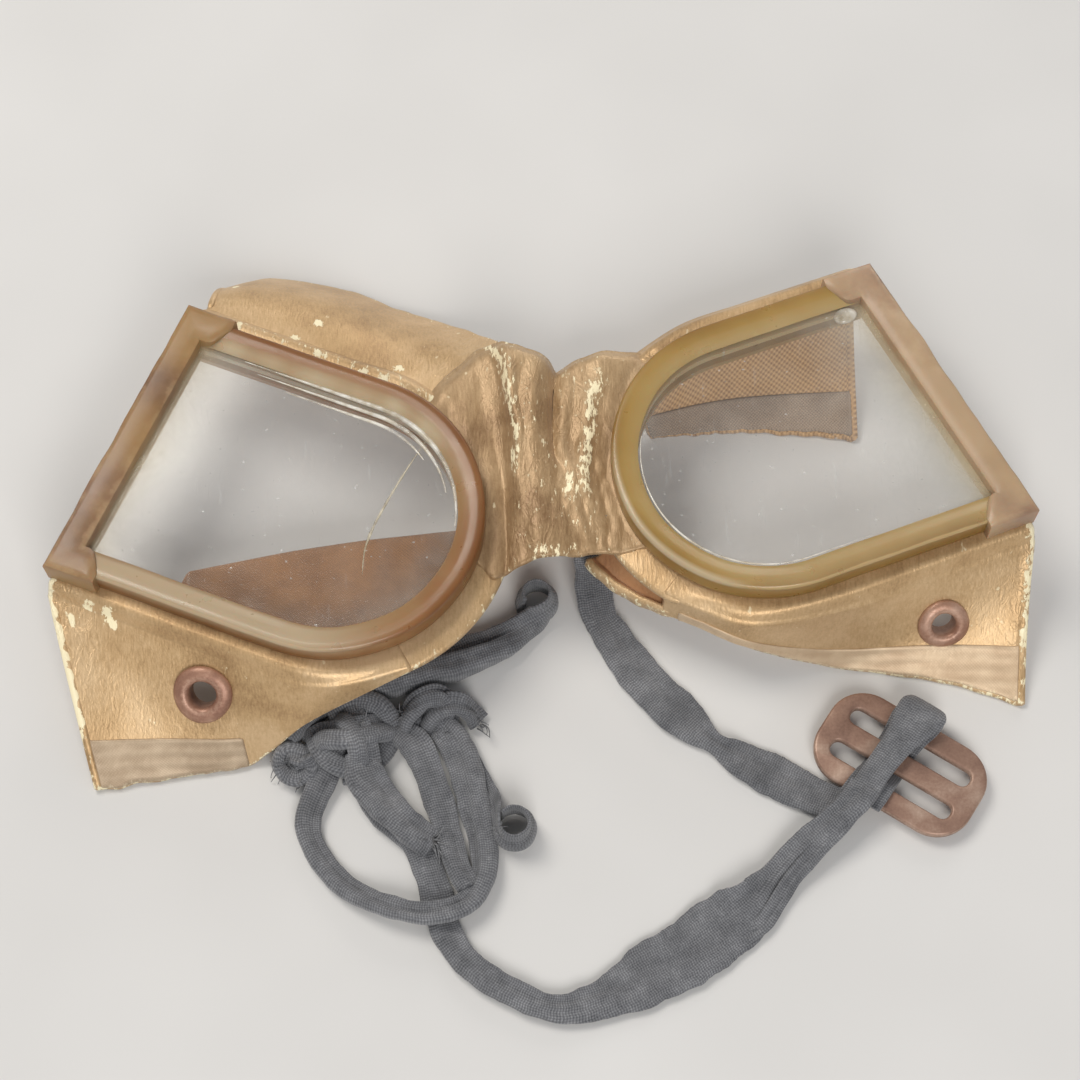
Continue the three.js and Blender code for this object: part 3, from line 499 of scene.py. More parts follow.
def sheet(name, grid, thickness, outer, inner, wear=None, crinkle=None, paint=None, hole=None):
    """A sheet about a grid of mid points, with half-round edges; its marks go by row and column"""
    p = np.array([[tuple(q) for q in row] for row in grid])
    rows, columns = p.shape[:2]
    normal = np.cross(np.gradient(p, axis=1), np.gradient(p, axis=0))
    normal /= np.linalg.norm(normal, axis=2, keepdims=True)
    if normal[..., 2].mean() < 0:
        normal = -normal
    half = thickness * MM / 2
    points = [tuple(q) for side in (half, -half) for q in (p + normal * side).reshape(-1, 3)]
    size = rows * columns
    lengths = np.zeros((rows, columns, 2))
    lengths[:, 1:, 0] = np.cumsum(np.linalg.norm(np.diff(p, axis=1), axis=2), axis=1) / MM
    lengths[1:, :, 1] = np.cumsum(np.linalg.norm(np.diff(p, axis=0), axis=2), axis=0) / MM
    uvs = lengths.reshape(-1, 2).tolist() * 2
    cells = [(i, j) for i in range(rows) for j in range(columns)]
    worn = [wear(i, j) if wear else 0.0 for i, j in cells] * 2
    folds = [crinkle(i, j) if crinkle else PLAIN_CRINKLE for i, j in cells] * 2
    faces, slots, cut = [], [], set()
    for i in range(rows - 1):
        for j in range(columns - 1):
            a = i * columns + j
            b = a + columns
            middle = p[i:i + 2, j:j + 2].mean(axis=(0, 1))
            if hole is not None and np.linalg.norm(middle - hole) < HOLE_RADIUS * MM:
                cut.add((i, j))
                continue
            faces += [(a, a + 1, b + 1, b), (size + a, size + b, size + b + 1, size + a + 1)]
            slots += [paint(i, j) if paint else 0, 1]
    for i, j in sorted(cut):
        for near, a, b in (((i - 1, j), (i, j), (i, j + 1)), ((i + 1, j), (i + 1, j + 1), (i + 1, j)),
                           ((i, j - 1), (i + 1, j), (i, j)), ((i, j + 1), (i, j + 1), (i + 1, j + 1))):
            if near not in cut:
                a, b = a[0] * columns + a[1], b[0] * columns + b[1]
                faces.append((a, b, size + b, size + a))
                slots.append(0)
    ring = [(0, j, 1, j) for j in range(columns - 1)]
    ring += [(i, columns - 1, i, columns - 2) for i in range(rows - 1)]
    ring += [(rows - 1, j, rows - 2, j) for j in range(columns - 1, 0, -1)]
    ring += [(i, 0, i, 1) for i in range(rows - 1, 0, -1)]
    first = len(points)
    for n, (i, j, k, m) in enumerate(ring):
        out = p[i, j] - p[k, m]
        points.append(tuple(p[i, j] + out / np.linalg.norm(out) * half))
        a = i * columns + j
        for values in (uvs, worn, folds):
            values.append(values[a])
        o = (n + 1) % len(ring)
        b = ring[o][0] * columns + ring[o][1]
        faces += [(a, b, first + o, first + n), (first + n, first + o, size + b, size + a)]
        slots += [0, 0]
    return make(name, points, faces, [outer, inner], uvs, {"wear": worn, "crinkle": folds}, slots)


def tube(name, rings, material, closed=False, uvs=None, sharp=None, **marks):
    """Rings of points joined along their length, with flat ends unless closed"""
    count = len(rings[0])
    faces = []
    for i in range(len(rings) if closed else len(rings) - 1):
        k = (i + 1) % len(rings)
        for j in range(count):
            m = (j + 1) % count
            faces.append((i * count + j, i * count + m, k * count + m, k * count + j))
    if not closed:
        last = (len(rings) - 1) * count
        faces += [tuple(range(count))[::-1], tuple(range(last, last + count))]
    return make(name, [q for ring in rings for q in ring], faces, [material], uvs, marks, sharp=sharp)


def settle(piece, body, node=None):
    """Hides the solid a piece stands for, if one is given, and attaches the piece to the body that carries it
    """
    if node:
        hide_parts(node)
    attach(piece, body)
    return piece


def spline(stops, steps):
    """Centripetal curve through rows of numbers, the first three of which are a place"""
    p = np.array(stops, float)
    p = np.vstack([2 * p[0] - p[1], p, 2 * p[-1] - p[-2]])
    gaps = np.linalg.norm(np.diff(p[:, :3], axis=0), axis=1) ** 0.5
    out = []
    for n in range(steps + 1):
        share = n / steps * (len(stops) - 1)
        i = min(int(share), len(stops) - 2)
        t1, t2, t3 = np.cumsum(gaps[i:i + 3])
        t = t1 + (share - i) * (t2 - t1)
        a = p[i:i + 4]
        b1 = a[0] * (t1 - t) / t1 + a[1] * t / t1
        b2 = a[1] * (t2 - t) / (t2 - t1) + a[2] * (t - t1) / (t2 - t1)
        b3 = a[2] * (t3 - t) / (t3 - t2) + a[3] * (t - t2) / (t3 - t2)
        c1 = b1 * (t2 - t) / t2 + b2 * t / t2
        c2 = b2 * (t3 - t) / (t3 - t1) + b3 * (t - t1) / (t3 - t1)
        out.append(c1 * (t2 - t) / (t2 - t1) + c2 * (t - t1) / (t2 - t1))
    return np.array(out)


def course(line):
    """Unit tangents of a curve, and the length run at each of its points"""
    tangent = np.gradient(line[:, :3], axis=0)
    tangent /= np.linalg.norm(tangent, axis=1, keepdims=True)
    gaps = np.linalg.norm(np.diff(line[:, :3], axis=0), axis=1)
    return tangent, np.concatenate([[0], np.cumsum(gaps)])


SECTION = 36
PART_SHARP = 75


def strap(name, stops, steps, seed=1.0, first=0, last=None):
    """A stretch of tape: each stop is x, y, z, width, height and roll in degrees, in millimetres.
    first and last choose the rings that this piece has. Gives the piece, its middle line and its length"""
    line = spline([tuple(s) + (0,) * (6 - len(s)) for s in stops], steps)
    tangent, run = course(line)
    rings, uvs, path = [], [], []
    side = None
    for i, row in enumerate(line):
        t = Vector(tangent[i])
        flat = Vector((-t.y, t.x, 0))
        if flat.length < 0.2 and side is not None:
            flat = side - t * side.dot(t)
        side = flat.normalized()
        up = t.cross(side) * -1
        if up.z < 0 and abs(t.z) < 0.9:
            up = -up
        turn = math.radians(row[5])
        s = side * math.cos(turn) + up * math.sin(turn)
        u = up * math.cos(turn) - side * math.sin(turn)
        middle = Vector(row[:3])
        half, tall = row[3] / 2, max(row[4], TAPE_LEAST) / 2
        groove = 0.1 + 0.5 * wave(run[i], 0, 0, 0.045, seed + 2)
        sway = 2.5 * wave(run[i], 0, 0, 0.07, seed + 3)
        ring = []
        for angle in circle(SECTION):
            x, y = rounded(angle, 0.75, 0.5)
            layer = smooth_step(groove + 0.09, groove - 0.05, x)
            crease = 0.4 * tall * bell(x, groove + 0.14, 0.1)
            pleat = 0.16 * tall * math.sin(7 * x + sway)
            bend = 0.28 * wave(run[i], 3 * x, seed, 0.16, seed)
            bend += 0.2 * wave(run[i], 5 * x, seed, 0.42, seed + 8)
            top = (0.5 + 0.9 * layer) * y * tall - crease
            y = (top if y > 0 else y * tall) + (pleat + bend) * (1 - x * x)
            edge = 1 + 0.13 * wave(run[i], x, seed, 0.3, seed + 5)
            edge += 0.03 * wave(run[i], x, seed, 1.3, seed + 6)
            spot = middle + s * (x * half * edge) + u * y
            spot.z = max(spot.z, TAPE_FLOOR)
            ring.append(at(*spot))
            uvs.append((run[i], x * half))
        rings.append(ring)
        path.append(at(*middle))
    last = len(rings) if last is None else last
    own = slice(first * SECTION, last * SECTION)
    whole = last - first == len(rings)
    piece = tube(name, rings[first:last], ELASTIC, uvs=uvs[own], sharp=None if whole else PART_SHARP)
    return piece, path[first:last], (run[last - 1] - run[first]) * MM


# Camera, light and floor
TARGET = at(0, 0, 10)
TILT = math.radians(66)
DISTANCE = 0.43
FLOOR_HALF = 3
camera = add_object("camera", bpy.data.cameras.new("camera"))
camera.data.lens = 84
camera.data.sensor_width = 36
camera.data.clip_start = 0.01
camera.location = TARGET + Vector((0, -math.cos(TILT), math.sin(TILT))) * DISTANCE
camera.rotation_euler = (math.pi / 2 - TILT, 0, 0)
bpy.context.scene.camera = camera
bpy.context.scene.view_settings.view_transform = "Standard"


def lamp(name, place, power, size, colour):
    light = bpy.data.lights.new(name, "AREA")
    light.energy, light.size, light.color = power, size, colour
    holder = add_object(name, light)
    holder.location = place
    holder.rotation_euler = (Vector((0, -0.01, 0)) - Vector(place)).to_track_quat("-Z", "Y").to_euler()


lamp("key_light", (-0.35, 0.28, 0.75), 3.9, 0.4, (1, 0.96, 0.9))
lamp("fill_light", (0.12, -0.72, 0.66), 4.7, 0.45, (1, 0.98, 0.96))
lamp("back_light", (0.25, 0.75, 0.35), 1.6, 0.45, (1, 0.97, 0.93))
world = bpy.data.worlds.new("studio")
world.use_nodes = True
world.node_tree.nodes["Background"].inputs["Color"].default_value = (0.9, 0.93, 1, 1)
world.node_tree.nodes["Background"].inputs["Strength"].default_value = 0.3
bpy.context.scene.world = world
floor_mesh = bpy.data.meshes.new("floor")
floor_mesh.from_pydata([(x * FLOOR_HALF, y * FLOOR_HALF, 0) for x, y in ((-1, -1), (1, -1), (1, 1), (-1, 1))],
                       [], [(0, 1, 2, 3)])
paper = Look("pale_floor", True)
paper_tone = paper.ramp(paper.noise(0.02, 2), (0.3, (0.66, 0.65, 0.63)), (0.7, (0.7, 0.69, 0.67)))
floor_mesh.materials.append(paper.finish(Base_Color=paper_tone, Roughness=0.9))
add_object("floor", floor_mesh)


# Elastic strap: the routes of the part's source, with the tape's height and roll added
def arc_stops(centre, radius, start, stop, count, z, width, height, roll):
    return [(centre[0] + radius * math.cos(a), centre[1] + radius * math.sin(a), z, width, height, roll)
            for a in np.radians(np.linspace(start, stop, count))]


def declare(made, replaced):
    """Hides the solids a tape stands for and gives back its piece"""
    piece, path, length = made
    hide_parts(*replaced)
    return piece


left_stops = [
    (-43, -33.4, 3.9, 5, 2), (-40.2, -29, 3, 5.6, 3.4), (-35.6, -25.6, 3, 6.4, 4.4),
    (-24, -22, 3.1, 7, 4.8), (-13.6, -18.8, 3, 6.8, 4.4), (-6.4, -15.6, 2.6, 5.6, 3.4, 10),
    (-2.6, -12.9, 3, 5, 2.2, 45),
] + arc_stops((-0.6, -8.4), 2.7, -56, 205, 11, 3.9, 6.6, 1.1, 84)
left_made = strap("strap_left_tape", left_stops, 200)
strap_left = declare(left_made, ["strap_left_run", "strap_nose_curl"])
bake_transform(strap_left)

loop_stops = [
    (-34.9, -37.3, 2.2, 4.6, 2.4), (-38.5, -47.3, 1.5, 4.2, 2.2), (-37, -52.5, 1.5, 4, 2.2),
    (-32, -58.4, 1.6, 3.9, 2), (-24.5, -62.3, CROSS, 3.8, 2), (-18, -63.5, 3.5, 3.8, 2),
    (-12.3, -61.8, CROSS, 4, 2), (-9.5, -57.6, 2.6, 4.2, 2.2), (-9.2, -52.5, 1.7, 4.8, 2.6),
    (-11.3, -43, 1.8, 5.6, 3), (-14.3, -34, 1.9, 5.8, 2.8), (-18.5, -29, 1.9, 4.8, 2.2),
]
loop_made = strap("strap_loop_tape", loop_stops, 220, 2.0)

front_stops = [
    (-29.7, -39.3, 1.8, 5.6, 2.4), (-25.8, -45.2, 1.5, 6.4, 2), (-20.7, -50.4, 1.3, 5.4, 1.8),
    (-18.1, -56.4, 1.2, 5.2, 1.5), (-16.4, -62.3, LOW, 5.2, 1.2), (-14.7, -67.4, 1.3, 5, 1.6, 6),
    (-10.5, -72.3, 1.5, 4.6, 2, 12), (-3.2, -76.8, 1.6, 4.6, 2.1, 14), (3.2, -78.8, 1.5, 4.6, 1.9, 10),
    (9.7, -77.3, 1.3, 6.4, 1.4, 3), (17.8, -73.2, LOW, 10, 1), (26.1, -68.2, LOW, 11.4, 1),
    (32.2, -63.8, 1.3, 10.6, 1.3, 8), (35.6, -60.6, 1.8, 7.6, 1.8, 24), (39, -56.4, 2, 5, 1.8, 24),
    (43.4, -52, 2.9, 4.8, 1.6, 16), (48, -48.4, 4.3, 4.8, 1.6, 8), (51.4, -45.6, 5.1, 5, 1.6, 4),
    (53.8, -42.4, 5.15, 5.4, 1.5),
]
edge_stops = [
    (33.4, -67.2, 1.1, 2.4, 1), (36.6, -64.6, 1.5, 3, 1, 20), (39.2, -60.8, 2.1, 3.4, 1, 42),
    (41.8, -57, 2.6, 3.2, 1, 38), (45.6, -53, 3.4, 2.8, 1, 24), (49.6, -49.4, 4.5, 2.4, 1, 12),
    (52.2, -46.8, 4.9, 2, 1),
]
front_made = strap("strap_front_tape", front_stops, 320, 3.0)
turned_edge = strap("strap_front_turned_edge", edge_stops, 110, 3.6)[0]
strap_front = declare(front_made, ["strap_front_run", "strap_tail_run"])
for piece in (strap_front, turned_edge):
    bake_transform(piece)

# The right tape follows the right half at one end and the buckle at the other, so it is made in two parts
right_stops = [
    (8.8, 2, 17.2, 5.4, 1), (8.3, 0.2, 13.6, 5.6, 1), (8.5, -1.8, 9.6, 6, 1),
    (9.2, -4.4, 5.4, 6.4, 1.1), (9.7, -8.2, 2.6, 6.2, 1.2), (10.6, -11.5, 1.5, 6, 1.4, 6),
    (11.5, -12.9, 1.4, 6, 1.4, 8), (17, -21.2, 1.2, 7.4, 1.2, 4), (24.4, -29.2, LOW, 7.4, 1.1),
    (29.6, -33.7, 1.4, 3.8, 1.6, 24), (33.4, -36, 1.1, 6, 1.1), (38.7, -39, 0.8, 7.4, 0.6),
    (42.4, -40.9, 0.8, 7.2, 0.6), (46, -42.8, 1.1, 6.4, 0.8), (49.6, -44.4, 2.2, 5.8, 1.2),
    (52.8, -44.4, 3.5, 5.6, 1.2),
]
RIGHT_STEPS = 230
RIGHT_SPLIT = 113
right_made = strap("strap_right_tape", right_stops, RIGHT_STEPS, 4.0, first=RIGHT_SPLIT)
nose_made = strap("strap_right_end_tape", right_stops, RIGHT_STEPS, 4.0, last=RIGHT_SPLIT + 1)
strap_right = declare(right_made, ["strap_right_run"])
strap_nose_end = declare(nose_made, ["strap_right_end"])
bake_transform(strap_right)
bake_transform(strap_nose_end)

curl_stops = [
    (-14.6, -31.6, 2, 4, 1.4), (-12.6, -35.6, 1.5, 4, 1.3, 6), (-9.2, -42.4, 1.6, 4.4, 1.2, 20),
    (-7.7, -45.8, 2.8, 5.4, 1, 60),
] + arc_stops((-4.2, -48.9), 2.9, 176, 500, 15, 3.9, 6.4, 0.95, 84)
strap_curl = declare(strap("strap_curled_end", curl_stops, 120, 5.0), ["strap_loose_curl"])
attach(strap_curl, "left_half")

# The knot: turns of the same tape drawn tight, loops and ends that stand out of it, and loose threads
KNOT_TURNS = {
    "first_turn": [(-37.4, -31.4, 2.2), (-35.6, -35.6, 4.6), (-32.2, -37.9, 3.2), (-28.4, -36.2, 2),
                   (-25.8, -32.4, 2.6), (-27.2, -29.2, 4.8), (-31, -28.5, 5.6), (-35.2, -30.2, 4.2)],
    "second_turn": [(-34.4, -28.8, 1.8), (-31.4, -31.4, 6.2), (-29.6, -35.4, 6.4), (-29.4, -38.6, 3),
                    (-32.8, -38.6, 1.6)],
    "third_turn": [(-38.2, -34.8, 1.8), (-36.2, -33.6, 5), (-32.4, -33.8, 6.7), (-28.2, -32.6, 5.6),
                   (-24.6, -30.8, 2.4), (-20.6, -28.6, 1.8)],
    "back_loop": [(-24.4, -32.8, 2.2), (-22.2, -29.6, 4.6), (-19.4, -26.9, 5.4), (-16.4, -26.6, 4.4),
                  (-15.4, -29.2, 2.6), (-18.2, -31.6, 2)],
    "small_loop": [(-20.2, -31.2, 1.8), (-17.6, -28.8, 4.2), (-14.2, -27.4, 4.2), (-11.6, -28.4, 2.4),
                   (-10.2, -29.8, 1.4)],
    "left_roll": [(-37, -35.4, 1.8), (-39.4, -36.6, 3.4), (-42, -36.2, 4), (-43, -38, 2.6),
                  (-41, -39.4, 2), (-38.8, -38.6, 3), (-39.6, -37.2, 4.4)],
}
TIGHT_TURNS = 3
flat_end_stops = [
    (-30.2, -36.4, 4.4, 5, 2.2), (-29, -40.4, 4.2, 6.6, 2.4, 8), (-26.4, -44, 3.7, 6.8, 2, -10),
    (-23.4, -47.4, 3.9, 5.4, 2.4, 14), (-20.6, -49.8, 3.4, 5.6, 2, -8), (-17.6, -51.6, 2.4, 5.2, 1.1, 10),
]
second_strand_stops = [
    (-24.4, -31.4, 3, 4.4, 2), (-21, -34.4, 3.4, 5.2, 2.4, 10), (-18.6, -39.4, 2.7, 5.2, 2.2, 6),
    (-16.6, -45, 2.1, 5, 2), (-15, -50.4, 1.9, 4.6, 1.8, -6), (-13.4, -55.6, 2.6, 4.2, 1.6),
    (-11.6, -59, 3, 4, 1.4),
]
# Each row is a place, a way out, a spread, a count and a length
FRAYED = [
    ((-17.6, -51.8, 2.8), (1, -0.4, 0.35), 0.5, 22, 5), ((-10.4, -29.8, 1.6), (1, -0.3, 0.1), 0.5, 9, 3),
    ((-42.4, -37.6, 2.6), (-0.8, -0.5, 0.2), 0.7, 14, 3.4), ((-40, -39.2, 2), (0, -1, 0.2), 0.6, 8, 3.2),
    ((-30, -32, 7), (0.2, -0.2, 0.6), 0.9, 7, 2.6), ((-22.6, -29.8, 4.8), (0.1, 0.2, 0.6), 0.8, 8, 2.8),
    ((-28.6, -41.6, 4.6), (-0.6, -0.6, 0.3), 0.6, 6, 2.6), ((-6.6, -50.4, 6.6), (-0.3, -0.2, 0.5), 0.5, 5, 2),
]
THREAD_JOINTS = 10
THREAD_SIDES = 5
THREAD_SEED = 41


def thread_piece():
    """Loose threads that fray out of the tape"""
    rng = np.random.default_rng(THREAD_SEED)
    points, faces = [], []
    for place, way, spread, count, length in FRAYED:
        for _ in range(count):
            q = np.array(place, float) + rng.normal(0, 0.55, 3)
            d = np.array(way, float) + rng.normal(0, spread, 3)
            bend = rng.normal(0, 0.16, 3)
            step = length * rng.uniform(0.45, 1.1) / (THREAD_JOINTS - 1)
            start = len(points)
            for i in range(THREAD_JOINTS):
                d = d + bend + rng.normal(0, 0.06, 3)
                d[2] -= 0.05
                d /= np.linalg.norm(d)
                q = q + d * step
                q[2] = max(q[2], THREAD_FLOOR)
                side = np.cross(d, (0.31, 0.17, 0.94))
                side /= np.linalg.norm(side)
                up = np.cross(side, d)
                r = THREAD_RADIUS * (1 - 0.55 * i / (THREAD_JOINTS - 1))
                for a in circle(THREAD_SIDES):
                    points.append(at(*(q + (side * math.cos(a) + up * math.sin(a)) * r)))
            last = start + (THREAD_JOINTS - 1) * THREAD_SIDES
            for row in range(start, last, THREAD_SIDES):
                for j in range(THREAD_SIDES):
                    a, b = row + j, row + (j + 1) % THREAD_SIDES
                    faces.append((a, b, b + THREAD_SIDES, a + THREAD_SIDES))
            faces.append(tuple(range(start, start + THREAD_SIDES))[::-1])
            faces.append(tuple(range(last, last + THREAD_SIDES)))
    piece = make("strap_knot_threads", points, faces, [THREAD])
    return piece


knot = []
for number, (name, turn) in enumerate(KNOT_TURNS.items()):
    width, height, roll = (5.4, 2.2, 14) if number < TIGHT_TURNS else (4, 1.7, 34)
    stops = [(*place, width, height, roll * math.sin(2.1 * n + number)) for n, place in enumerate(turn)]
    knot.append(strap("strap_knot_" + name, stops, 90, 6.0 + number)[0])
knot.append(strap("strap_knot_flat_end", flat_end_stops, 90, 11.0)[0])
knot.append(strap("strap_knot_second_strand", second_strand_stops, 110, 12.0)[0])
knot.append(thread_piece())
for piece in knot:
    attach(piece, "left_half")
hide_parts("strap_knot")
strap_loop = declare(loop_made, ["strap_loop"])
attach(strap_loop, "left_half")


# Slide buckle and the tape threaded through it
def on_buckle(x, y, z):
    c, s = math.cos(BUCKLE_TURN), math.sin(BUCKLE_TURN)
    return at(BUCKLE[0] + x * c - y * s, BUCKLE[1] + x * s + y * c, z)


def round_box(length, width, corner, steps):
    out = []
    for sx, sy, start in ((1, 1, 0), (-1, 1, 90), (-1, -1, 180), (1, -1, 270)):
        for i in range(steps + 1):
            a = math.radians(start + 90 * i / steps)
            out.append((sx * (length / 2 - corner) + corner * math.cos(a),
                        sy * (width / 2 - corner) + corner * math.sin(a)))
    return out


def buckle_piece():
    """A stamped plate with rounded edges, two slots and a slight dome"""
    outline = bpy.data.curves.new("buckle_outline", "CURVE")
    outline.dimensions = "2D"
    outline.fill_mode = "BOTH"
    outline.extrude = 0.28 * MM
    outline.bevel_depth = 0.52 * MM
    outline.bevel_resolution = 4
    outline.offset = -outline.bevel_depth
    slot = round_box(SLOT_LENGTH, SLOT_WIDTH, 1.3, 6)
    plate = round_box(BUCKLE_LENGTH, BUCKLE_WIDTH, 6.5, 12)
    for shape, shift in ((plate, 0), (slot, -SLOT_PLACE), (slot, SLOT_PLACE)):
        ring = outline.splines.new("POLY")
        ring.points.add(len(shape) - 1)
        ring.use_cyclic_u = True
        for point, (x, y) in zip(ring.points, shape):
            point.co = (x * MM, (y + shift) * MM, 0, 1)
    holder = add_object("buckle_outline", outline)
    graph = bpy.context.evaluated_depsgraph_get()
    flat = bpy.data.meshes.new_from_object(holder.evaluated_get(graph))
    bpy.data.objects.remove(holder)
    work = bmesh.new()
    work.from_mesh(flat)
    bmesh.ops.remove_doubles(work, verts=work.verts, dist=1e-6)
    bmesh.ops.triangulate(work, faces=[f for f in work.faces if len(f.verts) > 4])
    points, wear = [], []
    for v in work.verts:
        x, y, z = v.co / MM
        dome = 0.15 * (1 - (2 * y / BUCKLE_WIDTH) ** 2)
        points.append(on_buckle(x, y, BUCKLE_HEIGHT + z + dome))
        wear.append(0.75 if -0.1 < z < 0.62 else 0.35 * (z > 0))
    work.verts.index_update()
    faces = [tuple(v.index for v in f.verts) for f in work.faces]
    work.free()
    piece = make("strap_slide_buckle_plate", points, faces, [COPPER], marks={"wear": wear}, sharp=50)
    settle(piece, "buckle", "strap_slide_buckle")


weave_stops = [
    (-2.4, -9.6, 3.8, 7.4, 0.9), (-2.2, -7, 3.8, 7.4, 0.9), (-2.1, -5, 3.5, 7.2, 0.9),
    (-2, -3.4, 2.2, 7, 0.8), (-2, -1.6, 0.9, 7, 0.8), (-2, 0, 0.75, 7, 0.8), (-2, 1.6, 0.9, 7, 0.8),
    (-1.8, 3.4, 2.2, 7, 0.8), (-1.6, 5, 3.7, 7.6, 0.8), (-1.4, 7.2, 3.8, 8.4, 0.8),
    (-1.1, 9.2, 3.9, 8.2, 0.9), (-1, 10.7, 4.6, 6.6, 1.2), (-1.1, 9.6, 5.4, 8.2, 1.3),
    (-1.3, 7.2, 5.4, 8, 1.4), (-1.8, 3.2, 5.1, 5.8, 1.5), (-2.4, -3, 5, 4.8, 1.6), (-2.6, -9.4, 5.1, 5, 1.6),
]


def weave_piece():
    """The weave lies in the buckle's long section, so its sides stay along the bars"""
    line = spline(weave_stops, 150)
    tangent, run = course(line)
    rings, uvs = [], []
    for i, row in enumerate(line):
        up = np.array([0, -tangent[i, 2], tangent[i, 1]])
        up /= np.linalg.norm(up)
        half, tall = row[3] / 2, row[4] / 2
        ring = []
        for angle in circle(SECTION):
            x, y = rounded(angle, 0.75, 0.6)
            y = y * tall + 0.12 * wave(run[i], 3 * x, 0, 0.2, 9) * (1 - x * x)
            ring.append(on_buckle(*(row[:3] + np.array([x * half, 0, 0]) + up * y)))
            uvs.append((run[i], x * half))
        rings.append(ring)
    settle(tube("strap_weave_tape", rings, ELASTIC, uvs=uvs), "buckle", "strap_buckle_weave")


buckle_piece()
weave_piece()


# Rims, bars and lenses
# Each row is a distance out from the rim's edge and a height over the lens's middle
RIM_PROFILE = [
    (-2.1, 0.9), (-4.55, 0.85), (-4.62, 0.98), (-4.5, 1.15), (-3.6, 1.62), (-2.7, 1.98), (-2.2, 2.12),
    (-1.4, 2.24), (-0.55, 2.28), (-0.22, 2.12), (-0.05, 1.8), (0, 1.2), (0, -0.8), (-0.02, -2.0),
    (-0.2, -2.4), (-0.6, -2.5), (-4.2, -2.5), (-4.6, -2.3), (-4.6, -0.9), (-2.1, -0.9),
]


def rim_piece(half, material):
    """The moulding round the lens, from one end of the temple bar to the other"""
    inner = RIM - RIM_WIDTH
    clear = BAR_WIDTH + 0.3
    straights = []
    for sign in (1, -1):
        end = min(half.temple(sign * RIM, clear), half.temple(sign * inner, clear))
        straights.append([(x, sign * RIM, 0, sign) for x in np.linspace(end, 0, 22)])
    turn = [(RIM * math.cos(a), RIM * math.sin(a), math.cos(a), math.sin(a))
            for a in np.radians(np.linspace(90, 270, 92))[1:-1]]
    rings, across, wear, pale = [], [], [], []
    for x, y, nx, ny in straights[0] + turn + straights[1][::-1]:
        angle = math.degrees(math.atan2(ny, nx)) % 360
        # lower, upper, below and nose set the pale mark: below paints a highlight on the lower rim's top,
        # nose a highlight line on the right rim's outer bevel by the nose, upper the paler inner bevel of the
        # upper rim
        lower = smooth_step(215, 262, angle)
        if half is LEFT:
            upper, below = smooth_step(150, 110, angle), 0.62 * lower
            nose = 0
        else:
            upper, below = 0.25 * smooth_step(130, 100, angle), 0.2 * lower
            nose = window(angle, 150, 185, 228, 250)
        upper *= 0.55 + 0.45 * wave(x, y, 0, 0.2, 6)
        # Rubbed edges; on the lower rim the outer-edge terms (9, 10) also paint a highlight line
        rubbed = {8: 0.2, 9: 0.25 + 0.65 * lower, 10: 0.2 + 0.7 * lower, 3: 0.35, 4: 0.2}
        wobble = 0.14 * wave(x, y, 0, 0.09, half.side)
        dip = 0.12 * wave(x, y, 4, 0.07, 3 * half.side)
        ring = []
        for n, (a, b) in enumerate(RIM_PROFILE):
            b = b + (dip if 3 <= n <= 12 else 0)
            ring.append(half.place(x + nx * (a + wobble), y + ny * (a + wobble), b))
            across.append(min(1, -a / RIM_WIDTH))
            wear.append(rubbed.get(n, 0.0))
            # edge and below are painted highlights
            edge = 0.7 * nose if 8 <= n <= 10 else 0
            pale.append(max(upper * smooth_step(-2.0, -3.2, a), edge, below * smooth_step(0.8, 1.6, b)))
        rings.append(ring)
    piece = tube(half.name + "_rim_moulding", rings, material, sharp=40, wear=wear, across=across, pale=pale)
    settle(piece, half.body, half.name + "_lens_rim")


# Each row is a share of the bar's width, from outside, and a height over the lens's middle
BAR_PROFILE = [(0.02, -2.8), (0, 2.1), (0.03, 2.55), (0.12, 2.88), (0.24, 2.98), (0.62, 2.9), (0.86, 2.68),
               (0.97, 2.35), (1, 1.9), (1, -2.8)]
BAR_RUBBED = {2: 0.5, 3: 0.55, 4: 0.3, 5: 0.2, 6: 0.5, 7: 0.6, 8: 0.4}
LEG_WIDTHS = [2.2, 3.4, 4.6, 5.5, 5.8]
CORNER = 5.9


def bar_piece(half, material):
    """A folded channel along the straight edge that turns round both corners"""
    top = RIM + BAR_WALL
    corners = [Vector((half.temple(sign * top, 0), sign * top)) for sign in (1, -1)]
    lean = math.atan(half.lean)
    out = Vector((math.cos(lean), -math.sin(lean)))
    legs = []
    for corner, sign in zip(corners, (1, -1)):
        leg = [(Vector((x, sign * top)), Vector((0, -sign)), width)
               for x, width in zip(np.linspace(corner.x - BAR_LEG, corner.x - CORNER, 5), LEG_WIDTHS)]
        height = sign * (top - LEG_WIDTHS[-1])
        leg.append((corner, Vector((half.temple(height, BAR_WIDTH), height)) - corner, 1))
        legs.append(leg)
    shares = np.linspace(0.13, 0.87, 24)
    straight = [(corners[0].lerp(corners[1], share), -out, BAR_WIDTH) for share in shares]
    stations = legs[0] + straight + legs[1][::-1]
    rings, wear = [], []
    for k, (foot, way, width) in enumerate(stations):
        ring = []
        for n, (share, z) in enumerate(BAR_PROFILE):
            q = foot + way * (share * width)
            q += way.normalized() * (0.3 * wave(q.x, q.y, 0, 0.16, 9 + half.side) * (share < 0.1))
            bump = 0.14 * wave(q.x, q.y, z, 0.11, 7 + half.side)
            flat = 0.35 if k in (0, len(stations) - 1) and 2 <= n <= 7 else 0
            ring.append(half.place(q.x, q.y, z + (bump - flat if 1 <= n <= 8 else 0)))
            wear.append(BAR_RUBBED.get(n, 0.0))
        rings.append(ring)
    piece = tube(half.name + "_temple_channel", rings, material, sharp=36, wear=wear)
    settle(piece, half.body, half.name + "_temple_bar")


